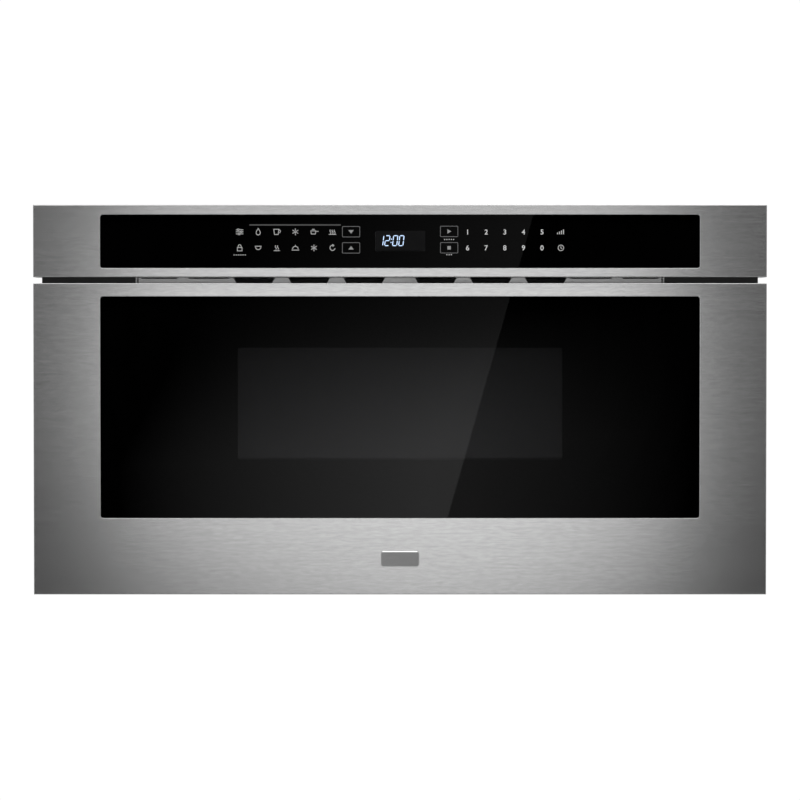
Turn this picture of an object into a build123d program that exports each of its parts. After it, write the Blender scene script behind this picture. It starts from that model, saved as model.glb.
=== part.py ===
from build123d import *
from math import acos, cos, pi, radians, sin, tan
import os

# Under-counter microwave oven of the drawer kind, 30 inch class, modelled closed.
# Millimetres. +Z is up, +Y runs to the back, and +X is to the right of a person who
# faces the oven. The origin is the middle of the footprint, on the surface under it.

# ---------------------------------------------------------------- driving sizes

# Front panels, as a person sees them
front_width = 759.0
drawer_front_height = 322.5
control_height = 74.7
front_gap = 6.3  # open slot between the control panel and the drawer front
drawer_front_lift = 1.0  # lower edge of the drawer front above the surface
front_depth = 38.0  # drawer front, from its face to its back
skin_thickness = 1.0
skin_edge_radius = 0.8
skin_back_inset = 1.5  # the drawer skin's folds end this far before its back plate

# Glass in the front panels
glass_width = 620.2
drawer_glass_height = 229.5
drawer_glass_drop = 13.8  # top edge of the drawer front down to its glass
control_glass_height = 55.2
control_glass_drop = 10.2  # top edge of the control panel down to its glass
glass_corner_radius = 3.0
glass_thickness = 4.0
glass_recess = 0.4
glass_edge_gap = 0.3
window_edge_radius = 0.6

# Window in the drawer front, seen through the dark glass
aperture_width = 336.4
aperture_height_margin = 206.1  # the drawer front is this much taller than the window
aperture_height = drawer_front_height - aperture_height_margin
aperture_rise = 36.35  # middle of the window above the middle of the drawer front
aperture_middle_height = drawer_front_height / 2 + aperture_rise
aperture_corner_radius = 3.0
carrier_margin = 9.0
carrier_thickness = 4.0
screen_margin = 10.0
screen_thickness = 0.8
pane_thickness = 3.0

# Face frame, which lies on the cabinet front round the cut-out
frame_side_inset = 4.5  # from the ends of the front panels
frame_thickness = 1.5
frame_top_inset = 6.0
seal_gap = 1.0  # drawer front's back to the face frame, drawer closed
mount_hole_radius = 2.6
mount_hole_edge = 11.0
mount_hole_low = 60.0
mount_hole_spacing = 230.0

# Cabinet body behind the face frame
body_width = 706.0
rear_room = 148.0  # between the cavity and the back panel
skid_height = 10.0
skid_width = 30.0
skid_inset = 40.0
skid_end_inset = 20.0
base_thickness = 1.2
base_lip_height = 16.0
underfloor_height = 86.0  # base plate up to the cavity
overhead_height = 76.0  # cavity up to the cover
wrap_thickness = 1.0
back_recess = 14.0
back_thickness = 1.0
back_lip_depth = 14.0
back_slot_first = 70.0  # nearest column of air slots, from the middle
back_slot_columns = 3
back_slot_pitch = 40.0
back_slot_low = 140.0
back_slot_rows = 9
back_slot_rise = 20.0
back_slot_width = 30.0
back_slot_height = 5.0
cover_fit = 0.2

# Oven cavity, which is made round the tub
tub_side_gap = 6.0
tub_top_gap = 27.0
tub_back_gap = 23.5
cavity_thickness = 1.0
cavity_collar = 6.0
cavity_corner_radius = 14.0

# Drawer tub and its tray
tub_width = 436.0
tub_height_margin = 162.5  # the drawer front is this much taller than the tub
tub_height = drawer_front_height - tub_height_margin
tub_depth = 408.0
tub_wall = 3.0
tub_floor_gap = 8.0
tub_corner_radius = 18.0
tub_rim_width = 5.0
tub_rim_height = 3.0
tub_edge_radius = 1.0
tray_thickness = 5.0
tray_edge_gap = 0.5

# Choke round the cavity mouth, in the back of the drawer front
plate_thickness = 1.2
choke_land = 7.0
choke_gap = 14.0
choke_depth = 24.0
choke_corner_radius = 8.0
choke_cover_thickness = 3.0
pan_start = 12.0  # depth behind the face where the inner pan's walls begin
fit_gap = 0.3  # clearance between pieces that move past or slip into each other

# Telescopic slides: a fixed, a middle and a drawer member on each side
travel = 381.0
slide_face = 287.0  # face of the drawer member, from the middle of the oven
slide_middle_height = 138.0  # above the base plate
slide_height = 45.6
slide_wall = 1.2
slide_depth = 12.4
slide_lip = 2.0
slide_race_height = 5.0
slide_spare = 69.0  # how much longer the fixed member is than the travel
slide_step = 10.0  # each inner member is this much shorter than the one round it
arm_thickness = 2.0
arm_height = 40.0
arm_flange = 22.0
slot_margin = 2.0
bracket_thickness = 2.0
bracket_foot = 22.0
bracket_front_gap = 10.0

# Rack drive
gear_module = 1.5
pinion_teeth = 18
pressure_angle = 20.0
gear_backlash = 0.3
pinion_width = 11.0
pinion_height = 25.0  # pinion axis above the base plate
pinion_setback = 40.0  # pinion axis behind the face frame
shaft_radius = 3.0
shaft_clearance = 0.05
rack_width = 12.0
rack_height = 14.0
rack_spare = 16.5  # rack past the pinion's axis, drawer open
tooth_tip = 0.8  # in modules
tooth_root = 1.25  # in modules
drive_wall = 3.0
drive_bracket_half = 18.0
gearbox_width = 28.0
gearbox_length = 48.0
gearbox_height = 40.0
gearbox_edge_radius = 3.0
motor_radius = 17.0
motor_length = 60.0
motor_boss_radius = 5.5
motor_boss_length = 4.0

# Door interlocks
hook_place = 325.0
hook_height = 228.0  # above the base plate
hook_width = 6.0
hook_depth = 10.0
hook_length = 28.0
hook_notch_start = 14.0
hook_notch_length = 7.0
hook_notch_roof = 4.0
holder_wall = 6.0
holder_length = 36.0
switch_size = (6.4, 27.8, 15.9)
switch_setback = 4.0

# Air outlet behind the slot between the front panels
vent_half_width = 277.0
vent_below_gap = 4.4
vent_above_gap = 3.0
grille_margin = 5.0
grille_thickness = 1.0
grille_slot_pairs = 3
grille_first_slot = 37.6
grille_pitch = 57.6
grille_slot_width = 45.4
grille_slot_slope = 0.6  # how much each end of a slot leans inwards, going down
grille_slot_height = 10.0
side_slots = ((200.3, 45.6), (252.0, 39.6))  # place and width
side_slot_raise = 7.7
hem_place = 273.4  # a fold that stands forward near each end of the strip
hem_thickness = 1.0
hem_length = 1.2
relief_place = 274.7  # narrow cut beside the fold, which lets it bend
relief_width = 1.3
duct_length = 90.0
duct_thickness = 1.0
deflector_setback = 12.0
deflector_reach = 5.5

# Blank badge on the drawer front
badge_width = 40.0
badge_height = 16.0
badge_thickness = 2.2
badge_middle_height = 37.0
badge_corner_radius = 3.0
badge_bevel = 0.7

# Control panel inside
touch_thickness = 1.0
chassis_margin = 7.0
chassis_wall = 2.0
chassis_face = 3.0
display_width = 52.0
display_height = 20.7
display_case_margin = 4.0
display_case_depth = 10.0
display_corner_radius = 1.0
chassis_corner_radius = 3.0
board_width = 320.0
board_height = 58.0
board_thickness = 1.6
board_parts = (  # place across, place up, width, height, depth
    (30.0, 0.0, 22.0, 22.0, 3.0),
    (-90.0, 10.0, 30.0, 20.0, 9.0),
    (100.0, -18.0, 40.0, 8.0, 8.0),
)
boss_radius = 3.5
boss_edge = 8.0

# Microwave feed above and behind the cavity
guide_width = 90.0
guide_height = 33.0
guide_wall = 1.0
guide_front_reach = 60.0
guide_back_reach = 50.0
feed_hole_radius = 20.0
stirrer_radius = 62.0
stirrer_thickness = 1.0
stirrer_drop = 8.0
stirrer_hub_radius = 7.0
stirrer_hub_rise = 6.0
stirrer_hub_drop = 2.0
stirrer_shaft_radius = 3.0
stirrer_slot_count = 4
stirrer_slot_turn = 20.0
stirrer_slot_place = 38.0
stirrer_slot_length = 28.0
stirrer_slot_width = 18.0
stirrer_cover_width = 180.0
stirrer_cover_depth = 15.0
stirrer_cover_wall = 1.5
stirrer_cover_radius = 12.0
stirrer_motor_radius = 24.0
stirrer_motor_height = 18.0
stirrer_ear_reach = 7.0
stirrer_ear_width = 10.0
stirrer_ear_thickness = 1.5
magnetron_setback = 58.0
magnetron_width = 90.0
magnetron_length = 76.0
magnetron_height = 90.0
magnetron_wall = 1.5
anode_radius = 19.0
fin_count = 6
fin_thickness = 0.8
fin_inset = 3.0
antenna_radius = 7.0
antenna_rise = 22.0
antenna_collar_radius = 9.0

# Cooling fan, which blows sideways through the magnetron
fan_place = 110.0
fan_setback = 74.0  # fan axis behind the cavity
fan_radius = 54.0
fan_ring_gap = 4.0
fan_blade_width = 20.0
fan_blade_count = 5
fan_hub_radius = 14.0
fan_shaft_radius = 2.5
fan_plate_thickness = 1.5
fan_plate_width = 136.0
fan_axis_height = 239.0  # above the base plate
fan_plate_foot = 20.0
fan_blade_gap = 2.0
fan_blade_thickness = 1.6
fan_blade_chord = 22.0
fan_blade_pitch = 38.0
fan_motor_side = 50.0
fan_motor_depth = 30.0
fan_motor_gap = 6.0
fan_motor_edge_radius = 5.0
fan_post_width = 5.0
fan_post_height = 16.0
fan_arm_thickness = 2.0

# Electrical parts on the base plate, behind the cavity
rear_row_setback = 80.0
core_width = 96.0
core_height = 84.0
core_stack = 56.0
core_leg = 16.0
coil_overhang = 18.0
transformer_place = -210.0
capacitor_place = -95.0
capacitor_width = 52.0
capacitor_depth = 32.0
capacitor_height = 100.0
terminal_radius = 3.0
terminal_rise = 8.0
diode_place = -40.0
diode_radius = 4.0
diode_length = 24.0
tag_width = 12.0
tag_length = 20.0
tag_thickness = 1.5
filter_place = 220.0
filter_width = 96.0
filter_length = 72.0
filter_standoff = 8.0
filter_foot_radius = 3.0
filter_foot_edge = 6.0
filter_coil_place = -22.0
filter_coil_radius = 12.0
filter_coil_wire = 6.0
filter_parts = (  # place across, place along, width, length, height
    (16.0, -14.0, 18.0, 26.0, 15.0),
    (18.0, 16.0, 22.0, 20.0, 19.0),
)

# Small parts on the cavity's top and the duct
lamp_place = -150.0
lamp_box_width = 52.0
lamp_box_length = 44.0
lamp_box_height = 40.0
lamp_box_wall = 1.0
lamp_hole_radius = 2.0
lamp_hole_pitch = 6.0
lamp_hole_count = 3
lamp_base_radius = 7.0
lamp_base_length = 12.0
bulb_radius = 11.0
cutout_radius = 9.0
cutout_height = 8.0
cutout_flange_width = 6.0
cutout_flange_length = 19.8
cutout_flange_thickness = 1.5
cutout_places = ((130.0, -40.0), (130.0, 60.0))  # x, and y from the stirrer
sensor_size = (24.0, 18.0, 10.0)
sensor_place = 120.0

# Cord outlet in the back panel
outlet_place = 280.0
outlet_height = 60.0  # above the base plate
cord_bore_radius = 4.2
bushing_radius = 9.0
bushing_flange_radius = 13.0
bushing_flange_thickness = 3.0
bushing_outside = 8.0
bushing_inside = 6.0

# Screws that hold the cover
screw_shank_radius = 1.9
screw_head_radius = 4.0
screw_head_height = 2.2
screw_length = 5.0
screw_hole_gap = 0.1
base_screw_count = 5
back_screw_count = 3
base_screw_start = 40.0  # first screw behind the cabinet's front
base_screw_end = 60.0  # last screw before the back panel
back_screw_margin = 60.0

# ---------------------------------------------------------------- places

frame_width = front_width - 2 * frame_side_inset
cavity_width = tub_width + 2 * (tub_rim_width + tub_side_gap + cavity_thickness)
cavity_height = tub_floor_gap + tub_height + tub_top_gap + 2 * cavity_thickness
cavity_depth = tub_depth + tub_back_gap + cavity_thickness - seal_gap - frame_thickness
body_depth = cavity_depth + rear_room + back_recess
overall_depth = badge_thickness + front_depth + seal_gap + frame_thickness + body_depth
y_face = badge_thickness - overall_depth / 2
y_door_back = y_face + front_depth
y_frame = y_door_back + seal_gap
y_body = y_frame + frame_thickness
y_rear = y_body + body_depth
y_back_panel = y_rear - back_recess

z_drawer = drawer_front_lift
z_drawer_top = z_drawer + drawer_front_height
z_control = z_drawer_top + front_gap
z_control_top = z_control + control_height
z_base = skid_height
z_floor = z_base + base_thickness
z_cavity = z_floor + underfloor_height
z_cavity_top = z_cavity + cavity_height
z_body_top = z_cavity_top + overhead_height + wrap_thickness

z_drawer_glass = z_drawer_top - drawer_glass_drop - drawer_glass_height / 2
z_fascia_middle = z_control + control_height / 2
z_control_middle = z_control_top - control_glass_drop - control_glass_height / 2
z_aperture = z_drawer + aperture_middle_height
z_cavity_middle = (z_cavity + z_cavity_top) / 2

y_glass = y_face + glass_recess
y_behind_glass = y_glass + glass_thickness
y_carrier_back = y_behind_glass + carrier_thickness
y_pan = y_door_back - plate_thickness
y_cavity_back = y_body + cavity_depth
y_stirrer = y_body + cavity_depth / 2
y_magnetron = y_cavity_back + magnetron_setback
y_fan = y_cavity_back + fan_setback
y_rear_row = y_cavity_back + rear_row_setback

cavity_inside_width = cavity_width - 2 * cavity_thickness
cavity_inside_height = cavity_height - 2 * cavity_thickness
body_inside_width = body_width - 2 * wrap_thickness

z_slide = z_floor + slide_middle_height
slide_back = slide_face + slide_depth
outer_length = travel + slide_spare
middle_length = outer_length - slide_step
inner_length = middle_length - slide_step
z_hook = z_floor + hook_height
z_pinion = z_floor + pinion_height
y_pinion = y_body + pinion_setback
pitch_radius = gear_module * pinion_teeth / 2
z_rack_pitch = z_pinion + pitch_radius
rack_tip = tooth_tip * gear_module
rack_root = tooth_root * gear_module
rack_length = travel + y_pinion - y_door_back + rack_spare
z_rack_top = z_rack_pitch + rack_height
z_vent_low = z_drawer_top - vent_below_gap
z_vent_high = z_control + vent_above_gap


# ---------------------------------------------------------------- helpers

def block(x_limits, y_limits, z_limits):
    """Box between three pairs of limits."""
    limits = (x_limits, y_limits, z_limits)
    middle = [(low + high) / 2 for low, high in limits]
    size = [high - low for low, high in limits]
    return Pos(*middle) * Box(*size)


def panel(width, height, radius, y_limits, z_middle, x_middle=0.0):
    """Upright slab that faces the front, with rounded corners."""
    near, far = y_limits
    outline = Plane.XZ * RectangleRounded(width, height, radius)
    return Pos(x_middle, far, z_middle) * extrude(outline, far - near)


def slab(width, length, radius, z_limits, x_middle, y_middle):
    """Level slab with rounded corners."""
    low, high = z_limits
    return Pos(x_middle, y_middle, low) * extrude(RectangleRounded(width, length, radius), high - low)


def rod_x(radius, x_limits, y, z):
    """Round bar along X."""
    low, high = x_limits
    return Pos((low + high) / 2, y, z) * Rot(0, 90, 0) * Cylinder(radius, high - low)


def rod_y(radius, y_limits, x, z):
    """Round bar along Y."""
    low, high = y_limits
    return Pos(x, (low + high) / 2, z) * Rot(90, 0, 0) * Cylinder(radius, high - low)


def rod_z(radius, z_limits, x, y):
    """Round bar along Z."""
    low, high = z_limits
    return Pos(x, y, (low + high) / 2) * Cylinder(radius, high - low)


def other_side(shape):
    """The same piece on the left of the oven."""
    return mirror(shape, about=Plane.YZ)


def both_sides(shape):
    """A piece and its mirror image, as two solids."""
    return shape + other_side(shape)


def around(middle, size):
    """Pair of limits about a middle."""
    return (middle - size / 2, middle + size / 2)


def save(name, shape):
    export_step(shape, f"parts/{name}.step")


# ---------------------------------------------------------------- front panels

def front_skin(height, z_low, y_back, window_height, z_window):
    """Folded stainless pan: a face, four folds to the back and a lip round the glass."""
    outside = block(around(0, front_width), (y_face, y_back), (z_low, z_low + height))
    outside = fillet(outside.edges().group_by(Axis.Y)[0], skin_edge_radius)
    inside = block(
        around(0, front_width - 2 * skin_thickness),
        (y_face + skin_thickness, y_back + 1),
        (z_low + skin_thickness, z_low + height - skin_thickness),
    )
    lip = panel(
        glass_width + 2 * skin_thickness,
        window_height + 2 * skin_thickness,
        glass_corner_radius + skin_thickness,
        (y_face + skin_thickness / 2, y_behind_glass),
        z_window,
    )
    through = (y_face - 1, y_behind_glass + 1)
    window = panel(glass_width, window_height, glass_corner_radius, through, z_window)
    skin = outside - inside + lip - window
    rim = skin.edges().group_by(Axis.Y)[0].filter_by(
        lambda edge: abs(edge.center().X) < glass_width / 2 + 1
        and abs(edge.center().Z - z_window) < window_height / 2 + 0.5
    )
    return fillet(rim, window_edge_radius)


def drawer_skin():
    return front_skin(
        drawer_front_height, z_drawer, y_door_back - skin_back_inset, drawer_glass_height, z_drawer_glass
    )


def control_fascia():
    return front_skin(control_height, z_control, y_frame, control_glass_height, z_control_middle)


def front_glass(height, z_middle):
    """Pane that lies in a skin's opening with an even gap all round."""
    pane = panel(
        glass_width - 2 * glass_edge_gap,
        height - 2 * glass_edge_gap,
        glass_corner_radius - glass_edge_gap,
        (y_glass, y_behind_glass),
        z_middle,
    )
    return pane


def glass_carrier():
    """Black plastic frame behind the drawer glass; its opening is the visible window."""
    body = panel(
        glass_width + 2 * carrier_margin,
        drawer_glass_height + 2 * carrier_margin,
        glass_corner_radius,
        (y_behind_glass, y_carrier_back),
        z_drawer_glass,
    )
    opening = panel(
        aperture_width,
        aperture_height,
        aperture_corner_radius,
        (y_behind_glass - 1, y_carrier_back + 1),
        z_aperture,
    )
    return body - opening


def window_screen():
    """Formed sheet whose face closes the window and whose walls reach the back plate."""
    width = aperture_width + 2 * screen_margin
    height = aperture_height + 2 * screen_margin
    outside = panel(width, height, aperture_corner_radius, (y_carrier_back, y_pan), z_aperture)
    inside = panel(
        width - 2 * screen_thickness,
        height - 2 * screen_thickness,
        aperture_corner_radius - screen_thickness,
        (y_carrier_back + screen_thickness, y_pan + 1),
        z_aperture,
    )
    return outside - inside


def inner_pane():
    """Glass behind the screen, between its walls and flush with the tub's front wall."""
    inset = screen_margin - screen_thickness - fit_gap
    return panel(
        aperture_width + 2 * inset,
        aperture_height + 2 * inset,
        aperture_corner_radius,
        (y_door_back - pane_thickness, y_door_back),
        z_aperture,
    )


# ---------------------------------------------------------------- drawer front, inside

choke_inner_width = cavity_inside_width + 2 * choke_land
choke_inner_height = cavity_inside_height + 2 * choke_land
choke_outer_width = choke_inner_width + 2 * choke_gap
choke_outer_height = choke_inner_height + 2 * choke_gap
y_choke_floor = y_door_back - choke_depth


def choke_ring(y_limits, shrink=0.0):
    """Rectangular ring that fills the choke's groove, smaller all round by shrink."""
    outside = panel(
        choke_outer_width - 2 * shrink,
        choke_outer_height - 2 * shrink,
        choke_corner_radius,
        y_limits,
        z_cavity_middle,
    )
    inside = panel(
        choke_inner_width + 2 * shrink,
        choke_inner_height + 2 * shrink,
        choke_corner_radius,
        (y_limits[0] - 1, y_limits[1] + 1),
        z_cavity_middle,
    )
    return outside - inside


def arm_slot():
    """Hole that the right drawer arm passes through in the back plate."""
    return block(
        (slide_face - arm_thickness - fit_gap, slide_face + fit_gap),
        (y_pan - 1, y_door_back + 1),
        around(z_slide, arm_height + 2 * fit_gap),
    )


def choke_frame():
    """Steel pan that closes the drawer front and carries the choke round the cavity mouth."""
    width = front_width - 2 * (skin_thickness + fit_gap)
    low = z_drawer + skin_thickness + fit_gap
    high = z_drawer_top - skin_thickness - fit_gap
    pan = block(around(0, width), (y_face + pan_start, y_door_back), (low, high))
    pan -= block(
        around(0, width - 2 * plate_thickness),
        (y_face + pan_start - 1, y_pan),
        (low + plate_thickness, high - plate_thickness),
    )
    channel = choke_ring((y_choke_floor - plate_thickness, y_pan + plate_thickness / 2), -plate_thickness)
    groove = choke_ring((y_choke_floor, y_door_back + 1))
    window = panel(
        aperture_width + 2 * (screen_margin - screen_thickness),
        aperture_height + 2 * (screen_margin - screen_thickness),
        aperture_corner_radius,
        (y_pan - 1, y_door_back + 1),
        z_aperture,
    )
    return pan + channel - groove - window - both_sides(arm_slot())


def choke_cover():
    """Plastic ring that plugs the choke's mouth, flush with the back plate."""
    return choke_ring((y_door_back - choke_cover_thickness, y_door_back), fit_gap / 2)


def badge_plate():
    """Blank bright plate on the lower middle of the drawer front."""
    badge = panel(
        badge_width,
        badge_height,
        badge_corner_radius,
        (y_face - badge_thickness, y_face),
        z_drawer + badge_middle_height,
    )
    return chamfer(badge.edges().group_by(Axis.Y)[0], badge_bevel)


# ---------------------------------------------------------------- tub

def drawer_tub():
    """Open tub behind the drawer front, with a rolled rim and a window in its front wall."""
    z_low = z_cavity + cavity_thickness + tub_floor_gap
    z_high = z_low + tub_height
    y_middle = y_door_back + tub_depth / 2
    outside = slab(tub_width, tub_depth, tub_corner_radius, (z_low, z_high), 0, y_middle)
    outside = fillet(outside.edges().group_by(Axis.Z)[0], tub_wall)
    rim = slab(
        tub_width + 2 * tub_rim_width,
        tub_depth,
        tub_corner_radius,
        (z_high - tub_rim_height, z_high),
        0,
        y_middle,
    )
    inside = slab(
        tub_width - 2 * tub_wall,
        tub_depth - 2 * tub_wall,
        tub_corner_radius - tub_wall,
        (z_low + tub_wall, z_high + 1),
        0,
        y_middle,
    )
    window = panel(
        aperture_width,
        aperture_height,
        aperture_corner_radius,
        (y_door_back - 1, y_door_back + tub_wall + 1),
        z_aperture,
    )
    tub = outside + rim - inside - window
    return fillet(tub.edges().group_by(Axis.Z)[-1], tub_edge_radius)


def glass_tray():
    """Ceramic glass plate on the floor of the tub."""
    inset = tub_wall + tray_edge_gap
    z_low = z_cavity + cavity_thickness + tub_floor_gap + tub_wall
    tray = slab(
        tub_width - 2 * inset,
        tub_depth - 2 * inset,
        tub_corner_radius - inset,
        (z_low, z_low + tray_thickness),
        0,
        y_door_back + tub_depth / 2,
    )
    return chamfer(tray.edges().group_by(Axis.Z)[-1], tray_edge_gap)


# ---------------------------------------------------------------- slides

def slide_section(points):
    """Right-hand slide member's section, from half of its outline: depth from the bracket, height."""
    upper = [(slide_back - depth, z_slide + height) for depth, height in points]
    lower = [(slide_back - depth, z_slide - height) for depth, height in reversed(points)]
    return make_face(Plane.XZ * Polyline(*upper, *lower, close=True))


def slide_member(points, y_limits):
    near, far = y_limits
    return Pos(0, far, 0) * extrude(slide_section(points), far - near)


outer_inside = slide_height / 2 - slide_wall
race_top = outer_inside - fit_gap
race_foot = race_top - slide_race_height
middle_floor = slide_wall + fit_gap
outer_open = slide_depth - slide_wall - fit_gap
middle_open = outer_open - slide_wall - fit_gap
inner_floor = middle_floor + slide_wall + fit_gap
inner_top = race_foot - fit_gap
middle_lip_foot = race_foot - slide_lip - fit_gap
inner_face = middle_open - slide_wall - fit_gap
hat_height = middle_lip_foot - fit_gap


def slide_outer():
    """Fixed member: a channel with lips, open towards the oven."""
    points = [
        (0, slide_height / 2),
        (outer_open, slide_height / 2),
        (outer_open, outer_inside - slide_lip - fit_gap),
        (outer_open - slide_wall, outer_inside - slide_lip - fit_gap),
        (outer_open - slide_wall, outer_inside),
        (slide_wall, outer_inside),
    ]
    return slide_member(points, (y_body, y_body + outer_length))


def slide_middle():
    """Middle member: two races joined by a web, with lips that hold the drawer member."""
    points = [
        (middle_floor, race_top),
        (middle_open, race_top),
        (middle_open, middle_lip_foot),
        (middle_open - slide_wall, middle_lip_foot),
        (middle_open - slide_wall, race_foot),
        (middle_floor + slide_wall, race_foot),
    ]
    return slide_member(points, (y_frame, y_frame + middle_length))


def slide_inner():
    """Drawer member: a hat section that stands out past the other two."""
    points = [
        (inner_floor, inner_top),
        (inner_face, inner_top),
        (inner_face, hat_height),
        (slide_depth, hat_height),
        (slide_depth, 0),
    ]
    hollow = [
        (inner_floor, hat_height - slide_wall),
        (slide_depth - slide_wall, hat_height - slide_wall),
        (slide_depth - slide_wall, 0),
    ]
    outline = [*points[:-1]]
    inner = [*hollow[:-1]]
    upper = [(slide_back - depth, z_slide + height) for depth, height in outline]
    lower = [(slide_back - depth, z_slide - height) for depth, height in reversed(outline)]
    low_in = [(slide_back - depth, z_slide - height) for depth, height in inner]
    up_in = [(slide_back - depth, z_slide + height) for depth, height in reversed(inner)]
    face = make_face(Plane.XZ * Polyline(*upper, *lower, *low_in, *up_in, close=True))
    return Pos(0, y_frame + inner_length, 0) * extrude(face, inner_length)


def slide_bracket():
    """Angle on the base plate that carries the fixed member."""
    y_limits = (y_body + bracket_front_gap, y_body + outer_length)
    z_top = z_slide + slide_height / 2
    wall = block((slide_back, slide_back + bracket_thickness), y_limits, (z_floor, z_top))
    foot = block((slide_back, slide_back + bracket_foot), y_limits, (z_floor, z_floor + bracket_thickness))
    return wall + foot


def drawer_arm():
    """Long angle from the drawer front's back plate along the slide's drawer member."""
    z_limits = around(z_slide, arm_height)
    x_limits = (slide_face - arm_thickness, slide_face)
    blade = block(x_limits, (y_pan - arm_thickness, y_frame + inner_length), z_limits)
    x_flange = (slide_face - arm_thickness, slide_face + arm_flange)
    flange = block(x_flange, (y_pan - arm_thickness, y_pan), z_limits)
    return blade + flange


# ---------------------------------------------------------------- rack drive

def involute(angle):
    return tan(angle) - angle


def pinion_outline():
    """Closed outline of the pinion in its own plane, with a tooth gap at the top."""
    base_radius = pitch_radius * cos(radians(pressure_angle))
    tip_radius = pitch_radius + gear_module
    root_radius = pitch_radius - rack_root
    half_tooth = pi / (2 * pinion_teeth) - gear_backlash / (4 * pitch_radius)
    pitch_step = 2 * pi / pinion_teeth

    def flank_angle(radius):
        local = acos(min(1.0, base_radius / radius))
        return half_tooth + involute(radians(pressure_angle)) - involute(local)

    def point(radius, angle):
        return (radius * sin(angle), radius * cos(angle))

    start_radius = max(base_radius, root_radius)
    middle_radius = (start_radius + tip_radius) / 2
    edges = []
    for tooth in range(pinion_teeth):
        centre = (tooth + 1 / 2) * pitch_step
        foot, side, tip = (flank_angle(r) for r in (start_radius, middle_radius, tip_radius))
        left = [point(start_radius, centre - foot), point(middle_radius, centre - side)]
        right = [point(middle_radius, centre + side), point(start_radius, centre + foot)]
        top = [point(tip_radius, centre + angle) for angle in (-tip, 0, tip)]
        root_right = point(root_radius, centre + foot)
        next_root = point(root_radius, centre + pitch_step - foot)
        edges += [
            Line(point(root_radius, centre - foot), left[0]),
            ThreePointArc(left[0], left[1], top[0]),
            ThreePointArc(*top),
            ThreePointArc(top[2], right[0], right[1]),
            Line(right[1], root_right),
            ThreePointArc(root_right, point(root_radius, centre + pitch_step / 2), next_root),
        ]
    return make_face(Wire(edges))


def drive_pinion():
    """Pinion and its shaft, which runs in the bracket's two walls and ends in the gearbox."""
    teeth = Pos(-pinion_width / 2, y_pinion, z_pinion) * extrude(Plane.YZ * pinion_outline(), pinion_width)
    shaft_left = -(rack_width / 2 + fit_gap + drive_wall + 2)
    shaft_right = rack_width / 2 + fit_gap + drive_wall + gearbox_width / 2
    return teeth + rod_x(shaft_radius, (shaft_left, shaft_right), y_pinion, z_pinion)


def drive_rack():
    """Toothed bar on the drawer front's back plate; its teeth face down on to the pinion."""
    pitch = pi * gear_module
    half = pitch / 4 - gear_backlash / 4
    slope = tan(radians(pressure_angle))
    first = y_door_back
    last = y_door_back + rack_length
    z_tip = z_rack_pitch - rack_tip
    z_root = z_rack_pitch + rack_root
    index = int((first - y_pinion) / pitch) + 1
    outline = [(first, z_rack_top), (first, z_root)]
    while y_pinion + index * pitch + pitch / 2 < last:
        middle = y_pinion + index * pitch
        outline += [
            (middle - half - slope * rack_root, z_root),
            (middle - half + slope * rack_tip, z_tip),
            (middle + half - slope * rack_tip, z_tip),
            (middle + half + slope * rack_root, z_root),
        ]
        index += 1
    outline += [(last, z_root), (last, z_rack_top)]
    face = make_face(Plane.YZ * Polyline(*outline, close=True))
    return Pos(-rack_width / 2, 0, 0) * extrude(face, rack_width)


def drive_bracket():
    """Folded bracket on the base plate: it guides the rack and holds the pinion's shaft."""
    half_inside = rack_width / 2 + fit_gap
    y_limits = around(y_pinion, 2 * drive_bracket_half)
    z_roof = z_rack_top + fit_gap
    body = block(around(0, 2 * (half_inside + drive_wall)), y_limits, (z_floor, z_roof + drive_wall))
    body -= block(around(0, 2 * half_inside), (y_limits[0] - 1, y_limits[1] + 1), (z_floor - 1, z_roof))
    return body - rod_x(shaft_radius + shaft_clearance, around(0, 2 * front_width), y_pinion, z_pinion)


def drive_motor():
    """Gear motor beside the bracket: gearbox, motor can and end boss."""
    x_near = rack_width / 2 + fit_gap + drive_wall
    x_far = x_near + gearbox_width
    box = block((x_near, x_far), around(y_pinion, gearbox_length), around(z_pinion, gearbox_height))
    box = fillet(box.edges().filter_by(Axis.X), gearbox_edge_radius)
    can = rod_x(motor_radius, (x_far, x_far + motor_length), y_pinion, z_pinion)
    x_end = x_far + motor_length
    boss = rod_x(motor_boss_radius, (x_end, x_end + motor_boss_length), y_pinion, z_pinion)
    socket_end = x_near + gearbox_width / 2 + fit_gap
    socket = rod_x(shaft_radius + shaft_clearance, (x_near - 1, socket_end), y_pinion, z_pinion)
    return box + can + boss - socket


# ---------------------------------------------------------------- interlocks

def latch_hook():
    """Hook on the drawer front's back that presses the interlock switches."""
    y_limits = (y_door_back, y_door_back + hook_length)
    bar = block(around(hook_place, hook_width), y_limits, around(z_hook, hook_depth))
    y_notch = y_door_back + hook_notch_start
    notch = block(
        around(hook_place, hook_width + 2),
        (y_notch, y_notch + hook_notch_length),
        (z_hook - hook_depth, z_hook + hook_depth / 2 - hook_notch_roof),
    )
    return bar - notch


def hook_passage(y_limits):
    """Space that a hook needs in the face frame and the switch holder."""
    x_limits = around(hook_place, hook_width + 2 * slot_margin)
    return block(x_limits, y_limits, around(z_hook, hook_depth + 2 * slot_margin))


def switch_holder():
    """Plastic housing behind the face frame that a hook enters."""
    body = block(
        around(hook_place, hook_width + 2 * (slot_margin + holder_wall)),
        (y_body, y_body + holder_length),
        around(z_hook, hook_depth + 2 * (slot_margin + holder_wall)),
    )
    return body - hook_passage((y_body - 1, y_body + hook_length + slot_margin))


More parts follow.
